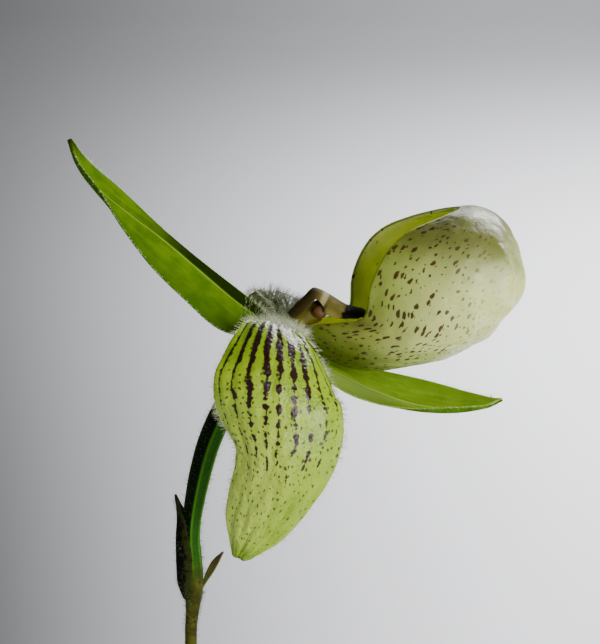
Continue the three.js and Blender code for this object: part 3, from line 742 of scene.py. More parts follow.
# %% Find a point of a blade
def blade_frame(blade, u):
    row = through(blade["rows"], u)
    ahead = direction_at(blade["rows"], u)
    across = Vector(blade["across"])
    side = (across - ahead * across.dot(ahead)).normalized()
    side = Matrix.Rotation(row[5], 3, ahead) @ side
    return row, Vector(row[:3]), side, ahead.cross(side)


def blade_point(blade, station, u, v, lift=0.0):
    row, centre, side, face = station
    left, right, cup = row[3], row[4], row[6]
    half = left if v < 0 else right
    bend = cup if abs(cup) > 1e-4 else 1e-4
    angle = bend * v
    wave = blade.get("wave", 0) * u * v * v * math.sin(2 * math.pi * blade.get("waves", 0) * u + 2.1 * v)
    keel = blade.get("keel", 0) * math.exp(-((v / 0.13) ** 2)) * math.sin(math.pi * math.sqrt(u))
    rise = half * (1 - math.cos(angle)) / bend + wave - 0.5 * keel
    outward = face * math.cos(angle) - side * math.sin(angle)
    return centre + side * (half * math.sin(angle) / bend) + face * rise + outward * lift


# %% [markdown]
# ## From grid to blade
#
# Blender's grid operator makes the flat sheet, and the Solidify modifier gives it thickness. A vertex
# group thins the sheet towards its margin, as on a real petal. The second material slot covers the
# back, and the modifier's offset sends the back faces to it.


# %% Make a blade's object
def finish_mesh(name, bm, materials, body="root"):
    mesh = bpy.data.meshes.new(name)
    bm.to_mesh(mesh)
    bm.free()
    for polygon in mesh.polygons:
        polygon.use_smooth = True
    piece = bpy.data.objects.new(name, mesh)
    for material in materials:
        mesh.materials.append(material)
    bpy.context.collection.objects.link(piece)
    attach(piece, body)
    return piece


def make_blade(name, blade, materials, along=90, across=36, relief=None, place=None):
    bm = bmesh.new()
    uv = bm.loops.layers.uv.new("blade")
    weight = bm.verts.layers.deform.verify()
    bmesh.ops.create_grid(bm, x_segments=along, y_segments=across, size=1.0)
    for loop in (loop for f in bm.faces for loop in f.loops):
        loop[uv].uv = ((loop.vert.co.x + 1) / 2, (loop.vert.co.y + 1) / 2)
    stations = {}
    for vert in bm.verts:
        u, v = (vert.co.x + 1) / 2, vert.co.y
        key = round(u, 5)
        if key not in stations:
            stations[key] = blade_frame(blade, u)
        lift = relief(u, v) if relief else 0.0
        vert.co = (BLOOM + blade_point(blade, stations[key], u, v, lift)) * MM
        vert[weight][0] = 1 - 0.62 * abs(v) ** 3
        if place:
            vert.co = place @ (vert.co - BLOOM * MM)
    bm.normal_update()
    middle = min(bm.faces, key=lambda f: (f.calc_center_median() - blade_centre(blade, place)).length)
    facing = stations[min(stations, key=lambda u: abs(u - 0.5))][3]
    facing = place.to_3x3() @ facing if place else facing
    if middle.normal.dot(facing) < 0:
        bmesh.ops.reverse_faces(bm, faces=bm.faces)
    piece = finish_mesh(name, bm, materials)
    piece.vertex_groups.new(name="thick")
    wall = piece.modifiers.new("wall", "SOLIDIFY")
    wall.thickness = blade["thick"] * MM
    wall.offset = 0
    wall.vertex_group = "thick"
    wall.thickness_vertex_group = 0.0
    wall.material_offset = len(materials) - 1
    print(name, "faces:", len(piece.data.polygons))
    return piece


def blade_centre(blade, place):
    point = blade_point(blade, blade_frame(blade, 0.5), 0.5, 0.0)
    return place @ (point * MM) if place else (BLOOM + point) * MM


# %% [markdown]
# ## The petals
#
# Each petal leaves the head of the stalk sideways, bows over in a crest and hangs down. The sheet is
# puffed and puckered in a small relief along it. The left petal is the right one seen in a mirror,
# hung a little higher and narrower on one side.

# %% Draw the two petals
PETAL = {
    "rows": [
        [-0.9, -2.6, 0.2, 1.9, 2.2, 0, 0.2],
        [-1.1, -7.2, 3.8, 3.2, 3.8, 0, -0.1],
        [-2.0, -12.5, 5.3, 6.6, 6.2, 0, -0.35],
        [-2.0, -17.5, 3.6, 9.6, 9.0, 0, -0.55],
        [-1.8, -22.5, 0.0, 12.6, 11.4, 0, -0.7],
        [-1.8, -26.0, -5.0, 13.4, 13.0, 0, -0.8],
        [-1.8, -27.0, -11.2, 12.2, 13.6, 0, -0.8],
        [-2.6, -26.4, -18.3, 8.4, 12.4, 0, -0.7],
        [-4.4, -24.0, -26.3, 8.0, 9.4, 0, -0.6],
        [-6.8, -20.5, -34.2, 6.5, 6.2, 0, -0.5],
        [-9.9, -16.5, -41.2, 1.9, 2.2, 0, -0.4],
    ],
    "across": (0.95, 0, -0.3),
    "thick": 0.7,
    "wave": 0.4,
    "waves": 2.4,
}
LEFT_NARROWER = 0.68
LEFT_PETAL = dict(PETAL, across=(-0.95, 0, 0.3))
LEFT_PETAL["rows"] = [
    [x - 0.1 * i, -y, z + 0.12 * i - 0.6, right, LEFT_NARROWER * left, -roll, cup]
    for i, (x, y, z, left, right, roll, cup) in enumerate(PETAL["rows"])
]


def puffed(u, v):
    lanes = 0.04 * math.cos(2 * math.pi * 5.0 * (v + 1)) * math.sin(math.pi * u)
    pucker = noise.fractal(Vector((9 * u, 5 * v, 1.7)), 1.0, 2.0, 4)
    return lanes + 0.34 * pucker * min(1.0, 4 * u)


petal_right = make_blade("petal_right_blade", PETAL, [PETAL_SKIN, PETAL_BACK], 120, 48, puffed)
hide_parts("petal_right")
petal_left = make_blade(
    "petal_left_blade", LEFT_PETAL, [FAR_PETAL_SKIN, PETAL_BACK], 120, 48, puffed
)
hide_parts("petal_left")

# %% [markdown]
# ## The sepals
#
# The upper sepal leans back over the bloom and its tip curls up. The two lower sepals have grown
# into one, a keeled boat under the pouch. Both show their bright face to the camera.

# %% Draw the sepals
DORSAL = {
    "rows": [
        [-3.6, 0, 1.7, 2.2, 2.6, -0.14, 0.2],
        [-6.8, 0, 3.9, 4.0, 7.2, -0.28, 0],
        [-11.0, 0, 6.9, 6.4, 9.9, -0.28, -0.3],
        [-17.6, 0, 12.7, 9.6, 9.6, -0.2, -0.5],
        [-25.4, 0, 19.6, 9.4, 8.8, -0.18, -0.45],
        [-32.6, 0, 25.2, 7.6, 7.0, -0.15, 0.05],
        [-38.0, 0, 30.0, 5.2, 5.2, -0.1, 0.7],
        [-41.4, 0, 34.8, 3.0, 3.0, -0.1, 0.9],
        [-43.1, 0, 39.7, 0.45, 0.45, -0.1, 0.8],
    ],
    "across": (0, -1, 0),
    "thick": 0.7,
    "keel": 0.5,
    "wave": 0.25,
    "waves": 1.5,
}
SYNSEPAL = {
    "rows": [
        [0.2, 0, -2.4, 2.6, 2.6, 0, 0.2],
        [4.6, 0, -5.2, 5.6, 5.6, 0.04, 0.1],
        [10.4, 0, -8.5, 8.4, 8.4, 0.08, 0.05],
        [17.6, 0, -12.0, 9.4, 9.4, 0.08, 0.25],
        [25.2, 0, -14.7, 8.8, 8.8, 0.06, 0.6],
        [32.6, 0, -15.7, 6.8, 6.8, 0.02, 0.85],
        [39.2, 0, -15.0, 3.8, 3.8, 0, 0.75],
        [42.8, 0, -13.6, 0.5, 0.5, 0, 0.6],
    ],
    "across": (0, 1, 0),
    "thick": 0.7,
    "keel": 0.45,
    "wave": 0.2,
    "waves": 1.5,
}


def lined(u, v):
    return 0.06 * noise.fractal(Vector((7 * u, 9 * v, 4.0)), 1.0, 2.0, 3)


dorsal = make_blade("dorsal_sepal_blade", DORSAL, [DORSAL_FACE, SEPAL_BACK], 96, 36, lined)
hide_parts("dorsal_sepal")
synsepal = make_blade("synsepal_blade", SYNSEPAL, [SEPAL_FACE, SEPAL_BACK], 96, 36, lined)
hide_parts("synsepal")

# %% [markdown]
# ## The pouch
#
# The lip is drawn as rings from its mouth to its blind toe. A ring runs from the keel to the front
# and back, so a grid wrapped round once makes the whole skin. Its two long edges are then merged,
# and the last ring closes to a point. The dents on its toe side are soft folds, so they are in the
# shape and not only in the relief.

# %% Draw the pouch
LIP_RINGS = [
    [1.4, -0.7, 35.6, 24.6, 9.4],
    [6.4, -4.7, 39.4, 24.7, 13.4],
    [13.4, -7.7, 43.4, 22.9, 16.0],
    [21.8, -7.9, 46.2, 19.4, 16.9],
    [29.8, -6.6, 47.5, 15.2, 15.8],
    [36.6, -3.7, 47.7, 11.0, 12.6],
    [42.2, 0.6, 47.0, 7.8, 7.2],
    [45.7, 4.6, 45.7, 4.6, 0.02],
]
LIP_MARGIN = [[0.1], [0.6], [-1.7], [-3.5], [0.6], [3.2], [4.6], [4.6], [3.4], [1.8], [0]]
LIP_HINGE = Vector((3, 0, 0))
LIP_TURN = Matrix.Rotation(math.radians(11), 3, "Z") @ Matrix.Rotation(math.radians(-9), 3, "X")


def lip_point(s, turn):
    keel_x, keel_z, front_x, front_z, half = through(LIP_RINGS, s)
    t = (1 - math.cos(turn)) / 2
    chord = Vector((front_x - keel_x, front_z - keel_z))
    lift = through(LIP_MARGIN, t)[0] * (1 - s) ** 2.2 / max(chord.length, 1e-3)
    return Vector(
        (
            keel_x + chord.x * t - chord.y * lift,
            half * math.sin(turn) * (1 - 0.22 * math.cos(turn)),
            keel_z + chord.y * t + chord.x * lift,
        )
    )


def make_pouch(along=110, around=150):
    bm = bmesh.new()
    uv = bm.loops.layers.uv.new("blade")
    bmesh.ops.create_grid(bm, x_segments=along, y_segments=around, size=1.0)
    for loop in (loop for f in bm.faces for loop in f.loops):
        loop[uv].uv = ((loop.vert.co.x + 1) / 2, (loop.vert.co.y + 1) / 2)
    for vert in bm.verts:
        s, turn = (vert.co.x + 1) / 2, math.pi * (vert.co.y + 1)
        spread = s * (1.25 - 0.25 * s)
        point = lip_point(spread, turn)
        crease = noise.fractal(Vector((0.17 * point.x, 0.12 * point.y, 0.05 * point.z + 3.0)), 1.0, 2.0, 3)
        fold = max(0.0, min(1.0, (spread - 0.25) / 0.3)) * (1 - spread) ** 0.3
        point *= 0.99 + 0.04 * crease * fold
        vert.co = (BLOOM + LIP_HINGE + LIP_TURN @ (point - LIP_HINGE)) * MM
    bmesh.ops.remove_doubles(bm, verts=bm.verts, dist=0.00002)
    bmesh.ops.recalc_face_normals(bm, faces=bm.faces)
    centre = (BLOOM + Vector((26, 5, 6))) * MM
    outward = sum(f.normal.dot(f.calc_center_median() - centre) for f in bm.faces)
    if outward < 0:
        bmesh.ops.reverse_faces(bm, faces=bm.faces)
    return bm


pouch = finish_mesh("lip_pouch_skin", make_pouch(), [POUCH_SKIN, POUCH_INSIDE])
wall = pouch.modifiers.new("wall", "SOLIDIFY")
wall.thickness = 0.8 * MM
wall.offset = -1
wall.material_offset = 1
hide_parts("lip_pouch")
print("pouch faces:", len(pouch.data.polygons))

# %% [markdown]
# ## The shield and the column
#
# The staminode is a folded shield: a ridge with a small hump, and two flaps that arch down over the
# anthers. It is one more blade, strongly cupped away from its face. The column under it is a short
# post, drawn as a tube, with a flattened ball for each anther.


# %% Draw tubes
def make_tube(name, rows, along, around, materials, ribs=None):
    bm = bmesh.new()
    uv = bm.loops.layers.uv.new("blade")
    bmesh.ops.create_grid(bm, x_segments=along, y_segments=around, size=1.0)
    for loop in (loop for f in bm.faces for loop in f.loops):
        loop[uv].uv = ((loop.vert.co.x + 1) / 2, (loop.vert.co.y + 1) / 2)
    for vert in bm.verts:
        t, turn = (vert.co.x + 1) / 2, math.pi * (vert.co.y + 1)
        row = through(rows, t)
        ahead = direction_at(rows, t)
        side = (Vector((0, -1, 0)) + ahead * ahead.y).normalized()
        closing = 0.0 if vert.co.x in (-1.0, 1.0) else 1.0
        radius = (row[3] + (ribs(t, turn) if ribs else 0.0)) * closing
        spoke = side * math.cos(turn) + ahead.cross(side) * math.sin(turn)
        vert.co = (BLOOM + Vector(row[:3]) + spoke * radius) * MM
    bmesh.ops.remove_doubles(bm, verts=bm.verts, dist=0.00002)
    bmesh.ops.recalc_face_normals(bm, faces=bm.faces)
    return finish_mesh(name, bm, materials)


# %% Draw the shield and the column
STAMINODE = {
    "rows": [
        [-0.2, 0, 4.55, 2.4, 2.4, 0, -1.0],
        [1.4, 0, 6.3, 3.1, 3.2, 0, -1.1],
        [3.1, 0, 7.95, 3.0, 3.9, 0, -1.1],
        [4.6, 0, 9.4, 2.7, 4.6, 0, -1.1],
        [6.2, 0, 9.0, 2.8, 4.9, 0, -1.1],
        [7.5, 0, 8.3, 3.7, 5.1, 0, -1.1],
        [8.3, 0, 7.8, 5.1, 5.2, 0, -1.1],
        [9.5, 0, 7.0, 4.9, 4.9, 0, -1.1],
        [10.8, 0, 6.2, 4.1, 4.1, 0, -1.05],
        [12.6, 0, 5.6, 3.2, 3.2, 0, -1.0],
        [14.1, 0, 5.3, 2.7, 2.7, 0, -1.0],
        [15.0, 0, 4.8, 1.9, 1.9, 0, -0.8],
    ],
    "across": (0, 1, 0),
    "thick": 0.6,
}
COLUMN_ROWS = [
    [0.8, 0, 1.9, 1.7],
    [2.2, 0, 3.1, 1.9],
    [3.6, 0, 4.1, 2.0],
    [5.2, 0, 4.6, 2.0],
    [6.8, 0, 4.4, 1.4],
]
ANTHER = Vector((5.9, 2.2, 5.4))


shield = make_blade("staminode_shield", STAMINODE, [SHIELD_SKIN], 70, 36)
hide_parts("staminode")
column = make_tube("column_post", COLUMN_ROWS, 24, 24, [COLUMN_SKIN])
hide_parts("column")


def make_anthers():
    bm = bmesh.new()
    for side in (-1, 1):
        centre = BLOOM + Vector((ANTHER.x, side * ANTHER.y, ANTHER.z))
        shape = Matrix.Translation(centre * MM) @ Matrix.Diagonal((1.15, 0.8, 1.0, 1.0))
        bmesh.ops.create_icosphere(bm, subdivisions=3, radius=1.35 * MM, matrix=shape)
    return finish_mesh("anthers", bm, [ANTHER_SKIN])


anthers = make_anthers()
print("column and anthers:", len(column.data.polygons), len(anthers.data.polygons))

# %% [markdown]
# ## The stalk and its bracts
#
# The stalk is one tube from the crown to the bloom. Its radius follows the rows, and from the seed
# vessel on it carries six soft ribs. A ball at its end is the head that every part of the bloom
# grows from.

# %% Draw the stalk
CROWN_TOP = 93
STALK_ROWS = [
    [-20, 0, CROWN_TOP + 0.3 - BLOOM.z, 2.1],
    [-18.6, 0.5, -270, 1.8],
    [-17.9, 0.9, -226, 1.6],
    [-18.5, 0.8, -180, 1.4],
    [-19.6, 0.4, -134, 1.3],
    [-20.4, 0.1, -98, 1.2],
    [-20.8, 0, -68, 1.25],
    [-20.5, 0, -61, 1.32],
    [-20.05, 0, -56, 1.8],
    [-20, 0, -52, 1.95],
    [-20.15, 0, -48, 1.9],
    [-20.4, 0, -43.5, 1.85],
    [-20, 0, -38, 2.0],
    [-18.5, 0, -30, 2.25],
    [-16.3, 0, -22.2, 2.35],
    [-13, 0, -15, 2.4],
    [-8.6, 0, -8.2, 2.45],
    [-2.6, 0, -1.4, 2.5],
]
RECEPTACLE = Vector((-1.6, 0, 0))
RECEPTACLE_RADIUS = 3.3


def soft_ribs(t, turn):
    grown = max(0.0, min(1.0, (t - 0.62) / 0.1))
    return 0.2 * grown * math.cos(6 * turn)


stalk = make_tube("flower_stalk_skin", STALK_ROWS, 260, 36, [STALK_SKIN], soft_ribs)
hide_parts("flower_stalk")


def make_head():
    bm = bmesh.new()
    place = Matrix.Translation((BLOOM + RECEPTACLE) * MM)
    bmesh.ops.create_icosphere(bm, subdivisions=4, radius=RECEPTACLE_RADIUS * MM, matrix=place)
    return finish_mesh("flower_head", bm, [COLUMN_SKIN])


head = make_head()
print("stalk faces:", len(stalk.data.polygons), "head faces:", len(head.data.polygons))

# %% Draw the bracts
BRACT = {
    "rows": [
        [-22.0, 0, -56.8, 2.2, 2.2, 0, 1.15],
        [-23.1, 0, -53.8, 4.2, 4.2, 0, 1.6],
        [-23.35, 0, -50.5, 4.8, 4.8, 0, 1.7],
        [-23.4, 0, -46.5, 4.9, 4.9, 0, 1.7],
        [-23.35, 0, -43, 4.2, 4.2, 0, 1.5],
        [-23.1, 0, -39, 3.1, 3.1, 0, 1.15],
        [-23.2, 0, -36.4, 1.7, 1.7, 0, 0.7],
        [-23.5, 0, -34.1, 0.35, 0.35, 0, 0.5],
    ],
    "across": (0, -1, 0),
    "thick": 0.5,
}
BRACTLET = {
    "rows": [
        [-18.3, 0, -54.4, 0.35, 0.35, 0.9, 0.5],
        [-17.4, 0, -52.6, 0.6, 0.6, 0.9, 0.5],
        [-16.5, 0, -50.9, 0.85, 0.85, 0.9, 0.5],
        [-15.4, 0, -48.9, 0.8, 0.8, 0.9, 0.4],
        [-13.9, 0, -46.7, 0.2, 0.2, 0.9, 0.3],
    ],
    "across": (0, 1, 0),
    "thick": 0.5,
}
bract = make_blade("bract_blade", BRACT, [BRACT_SKIN], 40, 20, lined)
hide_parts("bract")
bractlet = make_blade("bractlet_blade", BRACTLET, [BRACTLET_SKIN], 24, 12)
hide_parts("bractlet")

# %% [markdown]
# ## The leaves
#
# The leaves stand in two ranks. Each leaves the crown as a sheath that wraps its neighbours, then
# opens, folds a little along its midrib and leans out. The rows come from a simple walk: step by
# step along the leaf, turning from upright to its final slope.

# %% Work out the rows of a leaf
LEAVES = [
    (4.8, 24, 197, 100, 12.5, 34),
    (4.8, 21, 20, 112, 13.5, 16),
    (7.2, 15, 204, 136, 15.5, -4),
    (7.2, 12, 12, 144, 16.5, -14),
    (9.6, 8, 190, 150, 17, -26),
    (9.6, 6, 30, 146, 17, -34),
    (11.9, 3, 210, 122, 16, -42),
]
SHEATH_WRAP = 1.2
LEAF_FOLD = 0.34
LEAF_STATIONS = 12


def eased(t, low, high):
    t = min(max((t - low) / (high - low), 0.0), 1.0)
    return t * t * (3 - 2 * t)


def leaf_rows(sheath, wrap_mm, length, half_width, fall):
    rows, x, z = [], sheath, CROWN_TOP + 0.3
    pieces, wrap, sheath_half = 8, wrap_mm / length, SHEATH_WRAP * sheath
    for i in range(LEAF_STATIONS + 1):
        u = i / LEAF_STATIONS
        opened = eased(u, wrap, wrap + 0.36)
        blunt = 1.0 if u < 0.58 else math.sqrt(max(1 - ((u - 0.58) / 0.42) ** 2.3, 0))
        half = max((sheath_half + (half_width - sheath_half) * opened) * blunt, 0.7)
        rows.append([x, 0, z, half, half, 0, SHEATH_WRAP + (LEAF_FOLD - SHEATH_WRAP) * opened])
        for k in range(pieces):
            s = u + (k + 0.5) / (pieces * LEAF_STATIONS)
            bent = 1 - (1 - min(max(s - wrap, 0) / (1 - wrap), 1)) ** 1.4
            angle = math.radians(90 - (90 - fall) * bent)
            x += length / (pieces * LEAF_STATIONS) * math.cos(angle)
            z += length / (pieces * LEAF_STATIONS) * math.sin(angle)
    return rows


# %% Draw the leaves
def rippled(u, v):
    return 0.25 * noise.fractal(Vector((8 * u, 3 * v, 9.0)), 1.0, 2.0, 2) * eased(u, 0.1, 0.5)


for number, (sheath, wrap_mm, heading, length, half_width, fall) in enumerate(LEAVES, 1):
    rows = leaf_rows(sheath, wrap_mm, length, half_width, fall)
    blade = {"rows": rows, "across": (0, 1, 0), "thick": 1.3, "keel": 0.6, "wave": 0.6, "waves": 2.2}
    turned = Matrix.Rotation(math.radians(heading), 4, "Z")
    piece = make_blade(
        f"leaf_{number}_blade", blade, [LEAF_FACE, LEAF_BACK], 110, 32, rippled, turned
    )
    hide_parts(f"leaf_{number}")

# %% [markdown]
# ## Hairs
#
# The whole bloom is downy: long silver wool where the petals meet, short hairs along every margin,
# and a fine fuzz on the stalk. A hair is a thin three-sided cone that ends in a point, in two
# lengths that lean a little apart. Each is a real tapered mesh, and all draws come from seeded
# random numbers.


# %% Helpers that plant hairs
def plant_hair(bm, root, way, length, radius, random_stream):
    joint = root
    for part in range(2):
        lean = Vector(random_stream.gauss(0, 0.16) for _ in range(3))
        way = (way + lean).normalized()
        share = length * 0.5
        turn = way.to_track_quat("Z", "Y").to_matrix().to_4x4()
        place = Matrix.Translation((joint + way * share * 0.5) * MM) @ turn
        thick, thin = radius * (1 - 0.45 * part), radius * (0.55 - 0.4 * part)
        bmesh.ops.create_cone(
            bm,
            cap_ends=True,
            cap_tris=True,
            segments=3,
            radius1=thick * MM,
            radius2=thin * MM,
            depth=share * MM,
            matrix=place,
        )
        joint = joint + way * share


def hairs_on_blade(
    name, blade, count, seed, where, length, radius, lean=0.5, face=1.0, colour=HAIR_SILVER
):
    stream = random.Random(seed)
    bm = bmesh.new()
    for _ in range(count):
        u, v = where(stream)
        station = blade_frame(blade, u)
        row, _, side, front = station
        root = BLOOM + blade_point(blade, station, u, v, 0.25 * face * blade["thick"])
        bend = row[6] * v
        outward = (front * math.cos(bend) - side * math.sin(bend)) * face
        edge = side * (1 if v > 0 else -1) * abs(v) ** 6 * 2.2
        way = outward * (1 - 0.7 * abs(v) ** 6) + edge
        way = way + direction_at(blade["rows"], u) * lean
        size = length(u, v) * stream.uniform(0.6, 1.15)
        plant_hair(bm, root, way.normalized(), size, radius, stream)
    return finish_mesh(name, bm, [colour])


# %% Plant hairs on the petals
def margin(low, high):
    def where(stream):
        return stream.uniform(low, high), stream.choice((-1, 1)) * stream.uniform(0.97, 1.0)

    return where


def crest(low, high):
    def where(stream):
        return low + (high - low) * stream.random() ** 1.5, stream.uniform(-1, 1)

    return where


hair_pieces = []
for name, blade, seed in (("right", PETAL, 11), ("left", LEFT_PETAL, 12)):
    hair_pieces.append(
        hairs_on_blade(f"petal_{name}_wool", blade, 800, seed, crest(0.02, 0.2),
                       lambda u, v: 2.9 - 6.5 * u, 0.04, -0.4)
    )
    hair_pieces.append(
        hairs_on_blade(f"petal_{name}_fringe", blade, 700, seed + 10, margin(0.08, 0.98),
                       lambda u, v: 1.6 - 0.4 * u, 0.042, 0.4)
    )
hair_pieces.append(
    hairs_on_blade("petal_left_dome", LEFT_PETAL, 700, 13, crest(0.12, 0.5),
                   lambda u, v: 2.3, 0.034, -0.2, 1.0, HAIR_DARK)
)
print("petal hairs:", [len(piece.data.polygons) for piece in hair_pieces])

# %% Plant hairs on the sepals
for name, blade, seed, size in (("dorsal", DORSAL, 31, 1.1), ("synsepal", SYNSEPAL, 32, 1.5)):
    hair_pieces.append(
        hairs_on_blade(f"{name}_fringe", blade, 460, seed, margin(0.06, 0.95),
                       lambda u, v: size, 0.032, 0.5)
    )
    hair_pieces.append(
        hairs_on_blade(f"{name}_wool", blade, 260, seed + 10, crest(0.0, 0.22),
                       lambda u, v: 2.2 - 4.0 * u, 0.036, 0.2)
    )
    hair_pieces.append(
        hairs_on_blade(f"{name}_down", blade, 500, seed + 20, crest(0.05, 0.95),
                       lambda u, v: 0.7, 0.026, 0.6, -1.0)
    )
print("sepal hairs:", [len(piece.data.polygons) for piece in hair_pieces[4:]])


# %% Plant hairs on the stalk and bracts
def hairs_on_stalk(name, count, low, high, length, radius, seed):
    stream = random.Random(seed)
    bm = bmesh.new()
    for _ in range(count):
        t, turn = stream.uniform(low, high), stream.uniform(0, 2 * math.pi)
        row = through(STALK_ROWS, t)
        ahead = direction_at(STALK_ROWS, t)
        side = (Vector((0, -1, 0)) + ahead * ahead.y).normalized()
        spoke = side * math.cos(turn) + ahead.cross(side) * math.sin(turn)
        root = BLOOM + Vector(row[:3]) + spoke * (row[3] - 0.1)
        aim = (spoke + ahead * 0.35).normalized()
        plant_hair(bm, root, aim, length * stream.uniform(0.6, 1.2), radius, stream)
    return finish_mesh(name, bm, [HAIR_DARK])


scape_down = hairs_on_stalk("scape_down", 1900, 0.01, 0.5, 1.0, 0.028, 51)
vessel_down = hairs_on_stalk("vessel_down", 1800, 0.42, 0.98, 1.2, 0.03, 52)
bract_down = hairs_on_blade(
    "bract_down", BRACT, 300, 53, crest(0.02, 0.95), lambda u, v: 1.0, 0.03, 0.3, -1.0, HAIR_DARK
)
print("stalk hairs:", [len(p.data.polygons) for p in (scape_down, vessel_down, bract_down)])


# %% Plant wool on the head
def wool_on_head(count, seed):
    stream = random.Random(seed)
    bm = bmesh.new()
    for _ in range(count):
        way = Vector(stream.gauss(0, 1) for _ in range(3)).normalized()
        root = BLOOM + RECEPTACLE + way * (RECEPTACLE_RADIUS - 0.1)
        plant_hair(bm, root, way, stream.uniform(1.6, 3.2), 0.04, stream)
    return finish_mesh("head_wool", bm, [HAIR_SILVER])


head_wool = wool_on_head(700, 61)
print("head wool:", len(head_wool.data.polygons))

# %% [markdown]
# ## The pot
#
# A clay pot is thrown on a wheel, so its profile is drawn once and spun round the axis. The profile
# runs from the middle of the foot, up the outside, over the rim and down the inside. Four short
# rods are then cut out of the floor for the drain holes.

# %% Spin the pot
POT_HEIGHT = 105
RIM_RADIUS = 60
RIM_BAND = 20
RIM_STEP = 3.5
FOOT_RADIUS = 43
WALL = 5
POT_FLOOR = 7
BARK_LEVEL = 91


def pot_wall_at(height):
    return FOOT_RADIUS + (RIM_RADIUS - RIM_STEP - FOOT_RADIUS) / (POT_HEIGHT - RIM_BAND) * height


def spin_profile(bm, profile, steps=96):
    corners = [bm.verts.new((radius * MM, 0, height * MM)) for radius, height in profile]
    edges = [bm.edges.new(pair) for pair in zip(corners, corners[1:])]
    bmesh.ops.spin(
        bm,
        geom=corners + edges,
        cent=(0, 0, 0),
        axis=(0, 0, 1),
        dvec=(0, 0, 0),
        angle=2 * math.pi,
        steps=steps,
        use_merge=True,
        use_duplicate=False,
    )
    bmesh.ops.remove_doubles(bm, verts=bm.verts, dist=0.00001)
    bmesh.ops.recalc_face_normals(bm, faces=bm.faces)


band_foot = POT_HEIGHT - RIM_BAND
pot_profile = [
    (0, 0),
    (FOOT_RADIUS - 1.5, 0),
    (FOOT_RADIUS - 0.4, 0.4),
    (FOOT_RADIUS, 1.5),
    (pot_wall_at(band_foot * 0.5), band_foot * 0.5),
    (pot_wall_at(band_foot), band_foot),
    (RIM_RADIUS - 1.2, band_foot + 1),
    (RIM_RADIUS - 0.3, band_foot + 1.8),
    (RIM_RADIUS, band_foot + 3),
    (RIM_RADIUS + 0.6, POT_HEIGHT - 2.5),
    (RIM_RADIUS + 0.2, POT_HEIGHT - 1.2),
    (RIM_RADIUS - 1, POT_HEIGHT - 0.4),
    (RIM_RADIUS - 3.5, POT_HEIGHT),
    (RIM_RADIUS - 5.6, POT_HEIGHT - 0.4),
    (RIM_RADIUS - 7, POT_HEIGHT - 1.5),
    (pot_wall_at(band_foot) - WALL, band_foot - 4),
    (pot_wall_at(POT_FLOOR + 4) - WALL, POT_FLOOR + 4),
    (pot_wall_at(POT_FLOOR) - WALL - 4, POT_FLOOR),
    (0, POT_FLOOR),
]
pot_bm = bmesh.new()
spin_profile(pot_bm, pot_profile)
pot = finish_mesh("clay_pot", pot_bm, [CLAY])
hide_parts("pot")
print("pot faces before the holes:", len(pot.data.polygons))

# %% Cut the drain holes
cutter_bm = bmesh.new()
for quarter in range(4):
    angle = math.pi / 4 + quarter * math.pi / 2
    place = Matrix.Translation(Vector((24 * math.cos(angle), 24 * math.sin(angle), POT_FLOOR / 2)) * MM)
    bmesh.ops.create_cone(
        cutter_bm, cap_ends=True, segments=32, radius1=5 * MM, radius2=5 * MM, depth=20 * MM, matrix=place
    )
cutter_mesh = bpy.data.meshes.new("drain_cutter")
cutter_bm.to_mesh(cutter_mesh)
cutter_bm.free()
cutter = bpy.data.objects.new("drain_cutter", cutter_mesh)
bpy.context.collection.objects.link(cutter)
drain = pot.modifiers.new("drain", "BOOLEAN")
drain.operation = "DIFFERENCE"
drain.object = cutter
drained = bpy.data.meshes.new_from_object(pot.evaluated_get(bpy.context.evaluated_depsgraph_get()))
pot.modifiers.clear()
pot.data = drained
bpy.data.objects.remove(cutter)
drained.set_sharp_from_angle(angle=math.radians(40))
print("pot faces with the holes:", len(drained.polygons))

# %% [markdown]
# ## The bark
#
# Orchids grow in loose chips of bark. Each chip is a block whose corners are knocked about and whose
# edges are bevelled. A plug below them closes the gaps. The chips lie in rings that follow the golden
# angle, which spreads them evenly without a pattern.

# %% Scatter the bark chips
GOLDEN_ANGLE = math.pi * (3 - math.sqrt(5))


def add_chip(bm, stream, place, size):
    block = bmesh.ops.create_cube(bm, size=1.0)["verts"]
    length = size * stream.uniform(0.75, 1.35)
    breadth = size * stream.uniform(0.5, 0.9)
    height = size * stream.uniform(0.22, 0.45)
    shape = Matrix.Diagonal((length, breadth, height, 1))
    for vert in block:
        vert.co = Vector(c * stream.uniform(0.75, 1.15) for c in shape @ vert.co)
        vert.co = place @ vert.co
    edges = list({edge for vert in block for edge in vert.link_edges})
    bmesh.ops.bevel(
        bm,
        geom=edges,
        offset=0.9 * MM,
        segments=2,
        profile=0.5,
        affect="EDGES",
        material=-1,
        clamp_overlap=True,
    )


